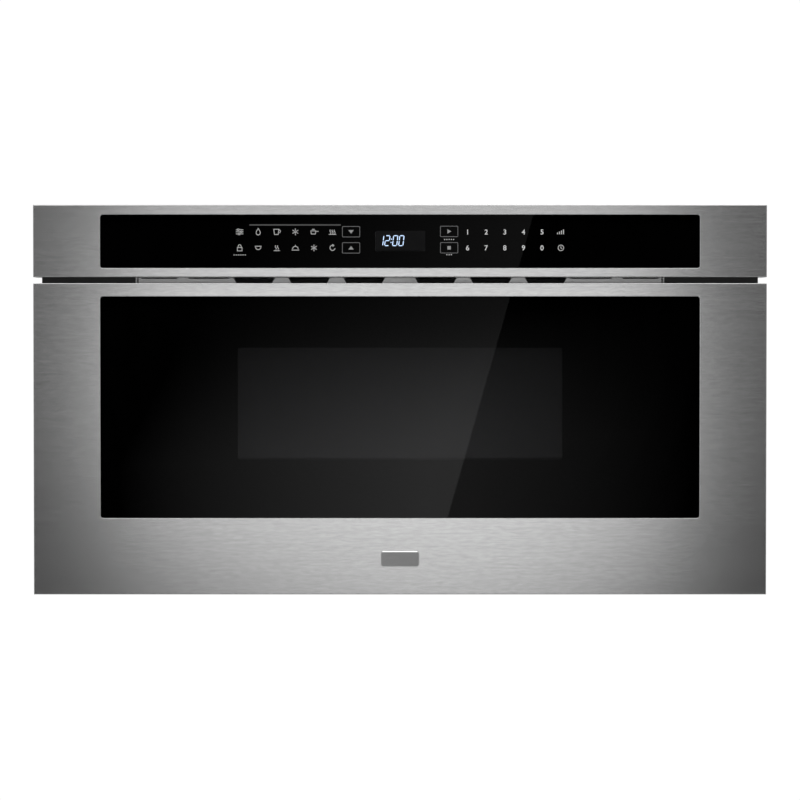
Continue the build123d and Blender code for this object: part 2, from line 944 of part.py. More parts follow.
def interlock_switches():
    """Three micro switches on the holders: two on the right and one on the left."""
    width, length, height = switch_size
    x_near = hook_place - hook_width / 2 - slot_margin - holder_wall - width
    z_above = z_hook + hook_depth / 2 + slot_margin + holder_wall
    y_limits = (y_body + switch_setback, y_body + switch_setback + length)
    beside = block((x_near, x_near + width), y_limits, around(z_hook, height))
    above = block(around(hook_place, width), y_limits, (z_above, z_above + height))
    return beside + above + other_side(above)


# ---------------------------------------------------------------- face frame and air outlet

def front_frame():
    """Black steel plate behind both front panels; screws through it hold the oven in."""
    frame = block(around(0, frame_width), (y_frame, y_body), (z_base, z_control_top - frame_top_inset))
    through = (y_frame - 1, y_body + 1)
    frame -= panel(
        cavity_inside_width,
        cavity_inside_height,
        cavity_corner_radius - cavity_thickness,
        through,
        z_cavity_middle,
    )
    slide_slot = block(
        (slide_face - arm_thickness - slot_margin, slide_back),
        through,
        around(z_slide, slide_height + 2 * slot_margin),
    )
    frame -= both_sides(slide_slot) + both_sides(hook_passage(through))
    frame -= block(
        around(0, rack_width + 2 * slot_margin),
        through,
        (z_rack_pitch - rack_tip - slot_margin, z_rack_top + slot_margin),
    )
    frame -= block(around(0, 2 * vent_half_width), through, (z_vent_low, z_vent_high))
    x_hole = frame_width / 2 - mount_hole_edge
    for z_hole in (z_base + mount_hole_low, z_base + mount_hole_low + mount_hole_spacing):
        frame -= both_sides(rod_y(mount_hole_radius, through, x_hole, z_hole))
    return frame


def vent_slot(x_middle, width, z_low, height):
    """Slot that narrows towards its lower edge."""
    y_back = y_body + grille_thickness + 1
    inset = grille_slot_slope * height
    outline = Polyline(
        (x_middle - width / 2 + inset, z_low),
        (x_middle + width / 2 - inset, z_low),
        (x_middle + width / 2, z_low + height),
        (x_middle - width / 2, z_low + height),
        close=True,
    )
    return Pos(0, y_back, 0) * extrude(make_face(Plane.XZ * outline), grille_thickness + 2)


def vent_grille():
    """Steel strip with tapered air slots, seen through the gap between the front panels."""
    z_limits = (z_vent_low - grille_margin, z_vent_high + grille_margin)
    strip = block(
        around(0, 2 * (vent_half_width + grille_margin)), (y_body, y_body + grille_thickness), z_limits
    )
    for step in range(grille_slot_pairs):
        place = grille_first_slot + step * grille_pitch
        strip -= both_sides(vent_slot(place, grille_slot_width, z_vent_low + 2, grille_slot_height))
    for place, width in side_slots:
        slot = vent_slot(place, width, z_vent_low + 2 + side_slot_raise, grille_slot_height - side_slot_raise)
        strip -= both_sides(slot)
    z_limits = (z_vent_low + fit_gap, z_vent_high - fit_gap)
    y_limits = (y_body - hem_length, y_body + grille_thickness)
    strip += both_sides(block(around(hem_place, hem_thickness), y_limits, z_limits))
    y_limits = (y_body - 1, y_body + grille_thickness + 1)
    return strip - both_sides(block(around(relief_place, relief_width), y_limits, z_limits))


def air_duct():
    """Sheet duct from the grille over the cavity, with a deflector that stands in it."""
    y_limits = (y_body + grille_thickness, y_body + grille_thickness + duct_length)
    half = vent_half_width + grille_margin
    z_limits = (z_cavity_top, z_vent_high + grille_margin)
    duct = block((-half, half), y_limits, z_limits)
    duct -= block(
        (-half + duct_thickness, half - duct_thickness),
        (y_limits[0] - 1, y_limits[1] + 1),
        (z_limits[0] + duct_thickness, z_limits[1] - duct_thickness),
    )
    y_plate = y_limits[0] + deflector_setback
    return duct + block(
        (-half, half), (y_plate, y_plate + duct_thickness), (z_cavity_top, z_drawer_top + deflector_reach)
    )


# ---------------------------------------------------------------- cabinet body

def screw_places():
    """Where the cover's right-hand screws go: (y, z) pairs."""
    y_first = y_body + base_screw_start
    y_last = y_back_panel - base_screw_end
    step = (y_last - y_first) / (base_screw_count - 1)
    z_lip = z_base + base_lip_height / 2 + base_thickness
    low = [(y_first + number * step, z_lip) for number in range(base_screw_count)]
    z_first = z_floor + back_screw_margin
    z_last = z_body_top - back_screw_margin
    rise = (z_last - z_first) / (back_screw_count - 1)
    y_lip = y_back_panel - back_thickness - back_lip_depth / 2
    return low + [(y_lip, z_first + number * rise) for number in range(back_screw_count)]


def screw_holes():
    """Clearance holes for all the cover's screws."""
    radius = screw_shank_radius + screw_hole_gap
    x_limits = (body_width / 2 - 2 * screw_length, body_width / 2 + 1)
    holes = [rod_x(radius, x_limits, y, z) for y, z in screw_places()]
    right = holes[0]
    for hole in holes[1:]:
        right += hole
    return both_sides(right)


def cabinet_screws():
    """Pan-head screws on both sides of the cover."""
    x_side = body_width / 2
    screws = None
    for y, z in screw_places():
        head = rod_x(screw_head_radius, (x_side, x_side + screw_head_height), y, z)
        head = fillet(head.edges().group_by(Axis.X)[-1], screw_head_height / 2)
        screw = head + rod_x(screw_shank_radius, (x_side - screw_length, x_side), y, z)
        screws = screw if screws is None else screws + screw
    return both_sides(screws)


def base_skids():
    """Two runners that the oven stands on."""
    x_outer = body_width / 2 - skid_inset
    runner = block(
        (x_outer - skid_width, x_outer), (y_body + skid_end_inset, y_rear - skid_end_inset), (0, skid_height)
    )
    return both_sides(runner)


def base_plate():
    """Floor of the cabinet, with its edges folded up."""
    half = body_inside_width / 2 - cover_fit
    y_limits = (y_body, y_back_panel)
    plate = block((-half, half), y_limits, (z_base, z_base + base_lip_height))
    plate -= block(
        (-half + base_thickness, half - base_thickness),
        (y_body + base_thickness, y_back_panel - back_lip_depth),
        (z_floor, z_base + base_lip_height + 1),
    )
    plate -= block(
        (-half + base_thickness, half - base_thickness),
        (y_back_panel - back_lip_depth - 1, y_back_panel + 1),
        (z_floor, z_base + base_lip_height + 1),
    )
    return plate - screw_holes()


def cabinet_wrap():
    """Cover folded over the top and both sides."""
    outside = block(around(0, body_width), (y_body, y_rear), (z_base, z_body_top))
    outside = fillet(outside.edges().filter_by(Axis.Y).group_by(Axis.Z)[-1], 2 * wrap_thickness)
    inside = block(
        around(0, body_inside_width), (y_body - 1, y_rear + 1), (z_base - 1, z_body_top - wrap_thickness)
    )
    return outside - inside - screw_holes()


def back_panel():
    """Rear wall with folded sides, air slots and the cord outlet."""
    half = body_inside_width / 2 - cover_fit - base_thickness - cover_fit
    z_limits = (z_floor, z_body_top - wrap_thickness - cover_fit)
    y_limits = (y_back_panel - back_thickness, y_back_panel)
    wall = block((-half, half), y_limits, z_limits)
    lip_x = body_inside_width / 2 - cover_fit
    lip = block(
        (half - back_thickness, half),
        (y_back_panel - back_lip_depth - back_thickness, y_back_panel),
        z_limits,
    )
    upper = block(
        (half - back_thickness, lip_x),
        (y_back_panel - back_lip_depth - back_thickness, y_back_panel),
        (z_base + base_lip_height + cover_fit, z_limits[1]),
    )
    wall = wall + both_sides(lip) + both_sides(upper)
    through = (y_limits[0] - 1, y_limits[1] + 1)
    slot = Plane.XZ * SlotOverall(back_slot_width, back_slot_height)
    for column in range(back_slot_columns):
        x = back_slot_first + column * back_slot_pitch
        for row in range(back_slot_rows):
            z = back_slot_low + row * back_slot_rise
            wall -= both_sides(Pos(x, through[1], z) * extrude(slot, through[1] - through[0]))
    wall -= rod_y(bushing_radius, through, outlet_place, z_floor + outlet_height)
    return wall - screw_holes()


def cord_bushing():
    """Flanged plastic bushing for the power cord."""
    z = z_floor + outlet_height
    y_inner = y_back_panel - back_thickness - bushing_inside
    body = rod_y(bushing_radius - screw_hole_gap, (y_inner, y_back_panel + bushing_outside), outlet_place, z)
    flange = rod_y(
        bushing_flange_radius, (y_back_panel, y_back_panel + bushing_flange_thickness), outlet_place, z
    )
    bore = rod_y(cord_bore_radius, (y_inner - 1, y_back_panel + bushing_outside + 1), outlet_place, z)
    return body + flange - bore


def oven_cavity():
    """Steel cooking chamber, open at the front, with a collar welded to the face frame."""
    radius = cavity_corner_radius
    outside = panel(cavity_width, cavity_height, radius, (y_body, y_cavity_back), z_cavity_middle)
    inside = panel(
        cavity_inside_width,
        cavity_inside_height,
        radius - cavity_thickness,
        (y_body - 1, y_cavity_back - cavity_thickness),
        z_cavity_middle,
    )
    collar = panel(
        cavity_width + 2 * cavity_collar,
        cavity_height + 2 * cavity_collar,
        radius + cavity_collar,
        (y_body, y_body + cavity_thickness),
        z_cavity_middle,
    )
    feed = rod_z(feed_hole_radius, (z_cavity_top - 2 * cavity_thickness, z_cavity_top + 1), 0, y_stirrer)
    chamber = outside + collar - inside - feed
    holes = GridLocations(lamp_hole_pitch, lamp_hole_pitch, lamp_hole_count, lamp_hole_count)
    for place in holes:
        hole = Cylinder(lamp_hole_radius, 4 * cavity_thickness)
        chamber -= Pos(lamp_place, y_stirrer, z_cavity_top) * place * hole
    return chamber


# ---------------------------------------------------------------- control panel, inside

def display_opening(y_limits):
    return panel(display_width, display_height, display_corner_radius, y_limits, z_control_middle)


def touch_panel():
    """Sensor sheet on the back of the control glass."""
    y_limits = (y_behind_glass, y_behind_glass + touch_thickness)
    sheet = panel(glass_width, control_glass_height, glass_corner_radius, y_limits, z_control_middle)
    return sheet - display_opening((y_limits[0] - 1, y_limits[1] + 1))


y_chassis = y_behind_glass + touch_thickness
y_display_back = y_chassis + chassis_face + display_case_depth
chassis_height = control_height - 2 * skin_thickness - 2 * fit_gap
chassis_width = glass_width + 2 * chassis_margin


def boss_places():
    x = board_width / 2 - boss_edge
    z = board_height / 2 - boss_edge
    return [(sx * x, z_control_middle + sz * z) for sx in (-1, 1) for sz in (-1, 1)]


def control_chassis():
    """Plastic tray that holds the display and its board, closed against the face frame."""
    body = panel(chassis_width, chassis_height, chassis_corner_radius, (y_chassis, y_frame), z_fascia_middle)
    body -= panel(
        chassis_width - 2 * chassis_wall,
        chassis_height - 2 * chassis_wall,
        chassis_corner_radius - chassis_wall / 2,
        (y_chassis + chassis_face, y_frame + 1),
        z_fascia_middle,
    )
    body -= display_opening((y_chassis - 1, y_chassis + chassis_face + 1))
    for x, z in boss_places():
        body += rod_y(boss_radius, (y_chassis + chassis_face - 1, y_display_back), x, z)
    return body


def display_module():
    """Display case behind the opening in the tray, with its window standing in the opening."""
    case = panel(
        display_width + 2 * display_case_margin,
        display_height + 2 * display_case_margin,
        display_corner_radius,
        (y_chassis + chassis_face, y_display_back),
        z_control_middle,
    )
    window = panel(
        display_width - 2 * fit_gap,
        display_height - 2 * fit_gap,
        display_corner_radius - fit_gap,
        (y_behind_glass, y_chassis + chassis_face + 1),
        z_control_middle,
    )
    return case + window


def control_board():
    """Printed circuit board with its larger parts."""
    y_back = y_display_back + board_thickness
    board = block(around(0, board_width), (y_display_back, y_back), around(z_control_middle, board_height))
    for across, up, width, height, depth in board_parts:
        z_limits = around(z_control_middle + up, height)
        board += block(around(across, width), (y_back, y_back + depth), z_limits)
    return board


# ---------------------------------------------------------------- microwave feed

y_guide_front = y_stirrer - guide_front_reach
y_guide_back = y_magnetron + guide_back_reach
z_guide_top = z_cavity_top + guide_height


def waveguide():
    """Rectangular duct from the magnetron to the stirrer in the cavity's ceiling."""
    x_limits = around(0, guide_width)
    guide = block(x_limits, (y_guide_front, y_guide_back), (z_cavity_top, z_guide_top))
    guide -= block(
        around(0, guide_width - 2 * guide_wall),
        (y_guide_front + guide_wall, y_guide_back - guide_wall),
        (z_cavity_top + guide_wall, z_guide_top - guide_wall),
    )
    through = (z_cavity_top - 1, z_cavity_top + 2 * guide_wall)
    guide -= rod_z(feed_hole_radius, through, 0, y_stirrer)
    guide -= rod_z(antenna_collar_radius + fit_gap, through, 0, y_magnetron)
    top_hole = rod_z(
        stirrer_shaft_radius + 2, (z_guide_top - 2 * guide_wall, z_guide_top + 1), 0, y_stirrer
    )
    return guide - top_hole


def stirrer():
    """Slotted disc on a shaft that hangs from its motor through the waveguide."""
    z_disc = z_cavity_top - cavity_thickness - stirrer_drop
    disc = rod_z(stirrer_radius, (z_disc, z_disc + stirrer_thickness), 0, y_stirrer)
    for number in range(stirrer_slot_count):
        turn = 360 / stirrer_slot_count * number + stirrer_slot_turn
        place = Pos(0, y_stirrer, z_disc) * Rot(0, 0, turn) * Pos(stirrer_slot_place, 0, 0)
        disc -= place * Box(stirrer_slot_length, stirrer_slot_width, 4 * stirrer_thickness)
    hub = rod_z(stirrer_hub_radius, (z_disc - stirrer_hub_drop, z_disc + stirrer_hub_rise), 0, y_stirrer)
    shaft = rod_z(stirrer_shaft_radius, (z_disc, z_guide_top + stirrer_motor_height / 2), 0, y_stirrer)
    return disc + hub + shaft


def stirrer_motor():
    """Flat synchronous motor on top of the waveguide."""
    case = rod_z(stirrer_motor_radius, (z_guide_top, z_guide_top + stirrer_motor_height), 0, y_stirrer)
    ears = block(
        around(0, 2 * (stirrer_motor_radius + stirrer_ear_reach)),
        around(y_stirrer, stirrer_ear_width),
        (z_guide_top, z_guide_top + stirrer_ear_thickness),
    )
    socket = rod_z(
        stirrer_shaft_radius + shaft_clearance,
        (z_guide_top - 1, z_guide_top + stirrer_motor_height / 2 + fit_gap),
        0,
        y_stirrer,
    )
    return case + ears - socket


def stirrer_cover():
    """Shallow plastic dish on the cavity's ceiling, below the stirrer."""
    z_limits = (z_cavity_top - cavity_thickness - stirrer_cover_depth, z_cavity_top - cavity_thickness)
    dish = slab(stirrer_cover_width, stirrer_cover_width, stirrer_cover_radius, z_limits, 0, y_stirrer)
    return dish - slab(
        stirrer_cover_width - 2 * stirrer_cover_wall,
        stirrer_cover_width - 2 * stirrer_cover_wall,
        stirrer_cover_radius - stirrer_cover_wall,
        (z_limits[0] + stirrer_cover_wall, z_limits[1] + 1),
        0,
        y_stirrer,
    )


z_magnetron = z_cavity_top - magnetron_height


def magnetron_yoke():
    """Steel loop under the waveguide, open on the sides that the air passes through."""
    y_limits = around(y_magnetron, magnetron_length)
    yoke = block(around(0, magnetron_width), y_limits, (z_magnetron, z_cavity_top))
    yoke -= block(
        around(0, magnetron_width + 2),
        (y_limits[0] + magnetron_wall, y_limits[1] - magnetron_wall),
        (z_magnetron + magnetron_wall, z_cavity_top - magnetron_wall),
    )
    return yoke - rod_z(
        antenna_collar_radius + fit_gap, (z_cavity_top - 2 * magnetron_wall, z_cavity_top + 1), 0, y_magnetron
    )


def magnetron_anode():
    """Copper anode block between the yoke's floor and roof."""
    return rod_z(
        anode_radius, (z_magnetron + magnetron_wall, z_cavity_top - magnetron_wall), 0, y_magnetron
    )


def magnetron_fins():
    """Thin cooling plates pressed on to the anode, as separate plates."""
    z_low = z_magnetron + magnetron_wall
    rise = (magnetron_height - 2 * magnetron_wall) / (fin_count + 1)
    hole = rod_z(anode_radius, (z_magnetron, z_cavity_top), 0, y_magnetron)
    fins = None
    for number in range(1, fin_count + 1):
        z = z_low + number * rise
        fin = block(
            around(0, magnetron_width - 2 * fin_inset),
            around(y_magnetron, magnetron_length - 2 * magnetron_wall - 2 * fit_gap),
            (z, z + fin_thickness),
        )
        fin -= hole
        fins = fin if fins is None else fins + fin
    return fins


def magnetron_antenna():
    """Ceramic collar and bright cap that stand up into the waveguide."""
    z_low = z_cavity_top - magnetron_wall
    z_cap = z_cavity_top + antenna_rise / 2
    collar = rod_z(antenna_collar_radius, (z_low, z_cap), 0, y_magnetron)
    cap = rod_z(antenna_radius, (z_cap, z_cavity_top + antenna_rise), 0, y_magnetron)
    cap = fillet(cap.edges().group_by(Axis.Z)[-1], antenna_radius / 2)
    return collar + cap


# ---------------------------------------------------------------- fan

z_fan = z_floor + fan_axis_height
fan_blade_start = fan_place + fan_plate_thickness + fan_blade_gap
fan_blade_end = fan_blade_start + fan_blade_width
fan_motor_start = fan_blade_end + fan_motor_gap


def fan_shroud():
    """Upright plate with a round mouth, a foot on the base plate and two motor posts."""
    y_limits = around(y_fan, fan_plate_width)
    x_limits = (fan_place, fan_place + fan_plate_thickness)
    plate = block(x_limits, y_limits, (z_floor, z_fan + fan_plate_width / 2))
    plate += block(
        (fan_place, fan_place + fan_plate_foot), y_limits, (z_floor, z_floor + fan_plate_thickness)
    )
    mouth = fan_radius + fan_ring_gap
    plate -= rod_x(mouth, (fan_place - 1, fan_blade_start), y_fan, z_fan)
    x_arm = (fan_motor_start, fan_motor_start + fan_arm_thickness)
    z_limits = around(z_fan, fan_post_height)
    for side in (-1, 1):
        y_inner = y_fan + side * mouth
        y_outer = y_inner + side * fan_post_width
        plate += block((fan_place, x_arm[1]), sorted((y_inner, y_outer)), z_limits)
        plate += block(x_arm, sorted((y_outer, y_fan + side * fan_motor_side / 2)), z_limits)
    return plate


def fan_motor():
    """Shaded-pole motor held by the two arms."""
    case = block(
        (fan_motor_start, fan_motor_start + fan_motor_depth),
        around(y_fan, fan_motor_side),
        around(z_fan, fan_motor_side),
    )
    case = fillet(case.edges().filter_by(Axis.X), fan_motor_edge_radius)
    socket = rod_x(
        fan_shaft_radius + shaft_clearance,
        (fan_motor_start - 1, fan_motor_start + fan_motor_depth / 2 + fit_gap),
        y_fan,
        z_fan,
    )
    return case - socket


def fan_blade():
    """Hub, shaft and pitched blades."""
    y_axis = y_fan
    hub = rod_x(fan_hub_radius, (fan_blade_start, fan_blade_end), y_axis, z_fan)
    shaft = rod_x(fan_shaft_radius, (fan_blade_end - 1, fan_motor_start + fan_motor_depth / 2), y_axis, z_fan)
    x_middle = (fan_blade_start + fan_blade_end) / 2
    root = fan_hub_radius / 2
    tip = (fan_radius**2 - (fan_blade_chord / 2) ** 2) ** 0.5
    fan = hub + shaft
    for number in range(fan_blade_count):
        place = Pos(x_middle, y_axis, z_fan) * Rot(360 / fan_blade_count * number, 0, 0)
        place = place * Pos(0, 0, (root + tip) / 2) * Rot(0, 0, fan_blade_pitch)
        fan += place * Box(fan_blade_thickness, fan_blade_chord, tip - root)
    return fan


# ---------------------------------------------------------------- electrical parts on the base

def transformer_core():
    """Stack of steel laminations with two windows, on the base plate."""
    x = transformer_place
    z_limits = (z_floor, z_floor + core_height)
    y_limits = around(y_rear_row, core_stack)
    core = block(around(x, core_width), y_limits, z_limits)
    window_width = (core_width - 4 * core_leg) / 2
    for side in (-1, 1):
        x_window = x + side * (core_leg + window_width / 2)
        core -= block(
            around(x_window, window_width),
            (y_limits[0] - 1, y_limits[1] + 1),
            (z_floor + core_leg, z_floor + core_height - core_leg),
        )
    return core


def transformer_coils():
    """Lower and upper windings round the core's middle leg."""
    window_width = (core_width - 4 * core_leg) / 2
    z_first = z_floor + core_leg + fit_gap
    height = (core_height - 2 * core_leg - 3 * fit_gap) / 2
    coils = None
    for z_low in (z_first, z_first + height + fit_gap):
        z_limits = (z_low, z_low + height)
        coil = slab(
            2 * (core_leg + window_width - fit_gap),
            core_stack + 2 * coil_overhang,
            core_leg / 2,
            z_limits,
            transformer_place,
            y_rear_row,
        )
        coil -= block(
            around(transformer_place, 2 * (core_leg + fit_gap)),
            around(y_rear_row, core_stack + 2 * fit_gap),
            (z_low - 1, z_low + height + 1),
        )
        coils = coil if coils is None else coils + coil
    return coils


def hv_capacitor():
    """Oval can with two terminals, on the base plate."""
    z_top = z_floor + capacitor_height
    can = Pos(capacitor_place, y_rear_row, z_floor) * extrude(
        SlotOverall(capacitor_width, capacitor_depth), capacitor_height
    )
    for side in (-1, 1):
        x = capacitor_place + side * capacitor_width / 4
        can += rod_z(terminal_radius, (z_top, z_top + terminal_rise), x, y_rear_row)
    return can


def hv_diode():
    """Rectifier on its earthing tag."""
    z_limits = (z_floor, z_floor + tag_thickness)
    tag = block(around(diode_place, tag_width), around(y_rear_row, tag_length), z_limits)
    z_diode = z_floor + tag_thickness / 2 + diode_radius
    return tag + rod_x(diode_radius, around(diode_place, diode_length), y_rear_row, z_diode)


def noise_filter():
    """Mains filter board on four standoffs, with a choke coil, a capacitor and a relay."""
    z_board = z_floor + filter_standoff
    z_top = z_board + board_thickness
    board = block(around(filter_place, filter_width), around(y_rear_row, filter_length), (z_board, z_top))
    for sx in (-1, 1):
        for sy in (-1, 1):
            x = filter_place + sx * (filter_width / 2 - filter_foot_edge)
            y = y_rear_row + sy * (filter_length / 2 - filter_foot_edge)
            board += rod_z(filter_foot_radius, (z_floor, z_board), x, y)
    for across, along, width, length, height in filter_parts:
        x_limits = around(filter_place + across, width)
        board += block(x_limits, around(y_rear_row + along, length), (z_top, z_top + height))
    z_coil = z_top + filter_coil_wire - board_thickness / 2
    coil = Torus(filter_coil_radius, filter_coil_wire)
    return board + Pos(filter_place + filter_coil_place, y_rear_row, z_coil) * coil


# ---------------------------------------------------------------- small parts

def lamp_housing():
    """Vented box over the lamp holes in the cavity's top."""
    z_limits = (z_cavity_top, z_cavity_top + lamp_box_height)
    box = block(around(lamp_place, lamp_box_width), around(y_stirrer, lamp_box_length), z_limits)
    return box - block(
        around(lamp_place, lamp_box_width - 2 * lamp_box_wall),
        around(y_stirrer, lamp_box_length - 2 * lamp_box_wall),
        (z_cavity_top - 1, z_limits[1] - lamp_box_wall),
    )


def oven_lamp():
    """Bulb that hangs from the lamp box's roof by its base."""
    z_roof = z_cavity_top + lamp_box_height - lamp_box_wall
    base = rod_z(lamp_base_radius, (z_roof - lamp_base_length, z_roof), lamp_place, y_stirrer)
    sink = bulb_radius - (bulb_radius**2 - lamp_base_radius**2) ** 0.5
    z_bulb = z_roof - lamp_base_length - bulb_radius + sink + lamp_box_wall / 2
    return base + Pos(lamp_place, y_stirrer, z_bulb) * Sphere(bulb_radius)


def thermal_cutouts():
    """Two disc thermostats on the cavity's top."""
    discs = None
    for x, y in cutout_places:
        disc = rod_z(cutout_radius, (z_cavity_top, z_cavity_top + cutout_height), x, y_stirrer + y)
        disc += block(
            around(x, cutout_flange_length),
            around(y_stirrer + y, cutout_flange_width),
            (z_cavity_top, z_cavity_top + cutout_flange_thickness),
        )
        discs = disc if discs is None else discs + disc
    return discs


def humidity_sensor():
    """Steam sensor on the roof of the air duct."""
    width, length, height = sensor_size
    z_low = z_vent_high + grille_margin
    y_middle = y_body + duct_length - length
    return block(around(sensor_place, width), around(y_middle, length), (z_low, z_low + height))


# ---------------------------------------------------------------- build

def build():
    pieces = {
        "drawer_skin": drawer_skin(),
        "drawer_glass": front_glass(drawer_glass_height, z_drawer_glass),
        "glass_carrier": glass_carrier(),
        "window_screen": window_screen(),
        "choke_frame": choke_frame(),
        "choke_cover": choke_cover(),
        "inner_pane": inner_pane(),
        "badge_plate": badge_plate(),
        "drawer_tub": drawer_tub(),
        "glass_tray": glass_tray(),
        "slide_outers": both_sides(slide_outer()),
        "slide_middle_right": slide_middle(),
        "slide_middle_left": other_side(slide_middle()),
        "slide_inners": both_sides(slide_inner()),
        "slide_brackets": both_sides(slide_bracket()),
        "drawer_arms": both_sides(drawer_arm()),
        "drive_pinion": drive_pinion(),
        "drive_rack": drive_rack(),
        "drive_bracket": drive_bracket(),
        "drive_motor": drive_motor(),
        "latch_hooks": both_sides(latch_hook()),
        "switch_holders": both_sides(switch_holder()),
        "interlock_switches": interlock_switches(),
        "front_frame": front_frame(),
        "vent_grille": vent_grille(),
        "air_duct": air_duct(),
        "cabinet_screws": cabinet_screws(),
        "base_skids": base_skids(),
        "base_plate": base_plate(),
        "cabinet_wrap": cabinet_wrap(),
        "back_panel": back_panel(),
        "cord_bushing": cord_bushing(),
        "oven_cavity": oven_cavity(),
        "control_fascia": control_fascia(),
        "control_glass": front_glass(control_glass_height, z_control_middle),
        "touch_panel": touch_panel(),
        "control_chassis": control_chassis(),
        "display_module": display_module(),
        "control_board": control_board(),
        "waveguide": waveguide(),
        "stirrer": stirrer(),
        "stirrer_motor": stirrer_motor(),
        "stirrer_cover": stirrer_cover(),
        "magnetron_yoke": magnetron_yoke(),
        "magnetron_anode": magnetron_anode(),
        "magnetron_fins": magnetron_fins(),
        "magnetron_antenna": magnetron_antenna(),
        "fan_shroud": fan_shroud(),
        "fan_motor": fan_motor(),
        "fan_blade": fan_blade(),
        "transformer_core": transformer_core(),
        "transformer_coils": transformer_coils(),
        "hv_capacitor": hv_capacitor(),
        "hv_diode": hv_diode(),
        "noise_filter": noise_filter(),
        "lamp_housing": lamp_housing(),
        "oven_lamp": oven_lamp(),
        "thermal_cutouts": thermal_cutouts(),
        "humidity_sensor": humidity_sensor(),
    }
    os.makedirs("parts", exist_ok=True)
    for name, shape in pieces.items():
        save(name, shape)


build()
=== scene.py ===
import math

import bmesh
import bpy
from mathutils import Matrix, Vector


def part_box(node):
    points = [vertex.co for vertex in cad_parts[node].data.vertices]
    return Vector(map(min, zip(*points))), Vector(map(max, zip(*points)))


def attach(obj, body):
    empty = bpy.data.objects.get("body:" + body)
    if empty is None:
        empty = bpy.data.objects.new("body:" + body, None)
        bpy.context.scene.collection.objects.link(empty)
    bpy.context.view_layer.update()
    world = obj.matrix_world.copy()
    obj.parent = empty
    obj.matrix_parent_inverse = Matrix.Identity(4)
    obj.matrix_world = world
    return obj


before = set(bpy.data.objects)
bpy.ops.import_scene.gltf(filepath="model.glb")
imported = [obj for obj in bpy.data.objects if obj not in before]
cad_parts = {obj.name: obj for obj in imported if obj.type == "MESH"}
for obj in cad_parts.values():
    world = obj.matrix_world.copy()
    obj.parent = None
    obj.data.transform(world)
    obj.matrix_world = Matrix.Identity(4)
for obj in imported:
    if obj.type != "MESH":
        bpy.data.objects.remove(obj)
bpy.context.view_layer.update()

studio = bpy.context.scene
studio.view_settings.view_transform = "Standard"


# ---- Cabinet sheet metal ---------------------------------------------------------
# The base tray, the wrap over top and sides and the back panel are folded from
# zinc-plated sheet steel about a millimetre thick, hooked and screwed together.
# The plating shows as faint crystals of slightly different brightness.

PLATED_GREY = (0.66, 0.67, 0.68)
CRYSTALS_PER_METRE = 95


def shader_of(finish):
    """The material's Principled shader."""
    return finish.node_tree.nodes["Principled BSDF"]


def new_finish(name, colour, metallic=0.0, roughness=0.5, sockets=None):
    """A material whose Principled shader starts from one colour and one roughness."""
    finish = bpy.data.materials.new(name)
    finish.use_nodes = True
    shader = shader_of(finish)
    shader.inputs["Base Color"].default_value = (*colour, 1.0)
    shader.inputs["Metallic"].default_value = metallic
    shader.inputs["Roughness"].default_value = roughness
    for socket, value in (sockets or {}).items():
        shader.inputs[socket].default_value = value
    return finish


def pattern(finish, kind, scale, stretch=(1, 1, 1), out=0, **settings):
    """The output of a procedural texture that is laid out in metres on the object."""
    nodes, links = finish.node_tree.nodes, finish.node_tree.links
    place = nodes.new("ShaderNodeTexCoord")
    squeeze = nodes.new("ShaderNodeMapping")
    squeeze.inputs["Scale"].default_value = stretch
    texture = nodes.new("ShaderNodeTex" + kind)
    texture.inputs["Scale"].default_value = scale
    for key, value in settings.items():
        if key in texture.inputs:
            texture.inputs[key].default_value = value
        else:
            setattr(texture, key, value)
    links.new(place.outputs["Object"], squeeze.inputs["Vector"])
    links.new(squeeze.outputs["Vector"], texture.inputs["Vector"])
    return texture.outputs[out]


def tint(finish, source, dark, light, low=0.3, high=0.7):
    """The base colour runs from dark to light as the source runs from low to high."""
    nodes, links = finish.node_tree.nodes, finish.node_tree.links
    ramp = nodes.new("ShaderNodeValToRGB")
    first, last = ramp.color_ramp.elements
    first.position, first.color = low, (*dark, 1.0)
    last.position, last.color = high, (*light, 1.0)
    links.new(source, ramp.inputs["Fac"])
    links.new(ramp.outputs["Color"], shader_of(finish).inputs["Base Color"])


def fade(source, low, high, first, last, soft=False):
    """A number that runs from first to last as the source runs from low to high."""
    tree = source.id_data
    span = tree.nodes.new("ShaderNodeMapRange")
    span.interpolation_type = "SMOOTHSTEP" if soft else "LINEAR"
    for socket, value in (("From Min", low), ("From Max", high), ("To Min", first), ("To Max", last)):
        span.inputs[socket].default_value = value
    tree.links.new(source, span.inputs["Value"])
    return span.outputs["Result"]


def gloss(finish, source, smooth, rough, low=0.3, high=0.7):
    """The roughness runs from smooth to rough as the source runs from low to high."""
    finish.node_tree.links.new(fade(source, low, high, smooth, rough),
                               shader_of(finish).inputs["Roughness"])


def relief(finish, source, depth):
    """The source raises the surface by up to depth metres; calls add up."""
    nodes, links = finish.node_tree.nodes, finish.node_tree.links
    bump = nodes.new("ShaderNodeBump")
    bump.inputs["Distance"].default_value = depth
    links.new(source, bump.inputs["Height"])
    normal = shader_of(finish).inputs["Normal"]
    if normal.is_linked:
        links.new(normal.links[0].from_socket, bump.inputs["Normal"])
    links.new(bump.outputs["Normal"], normal)


def dress(finish, *names):
    """The CAD nodes get this material."""
    for name in names:
        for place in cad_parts[name].material_slots:
            place.material = finish


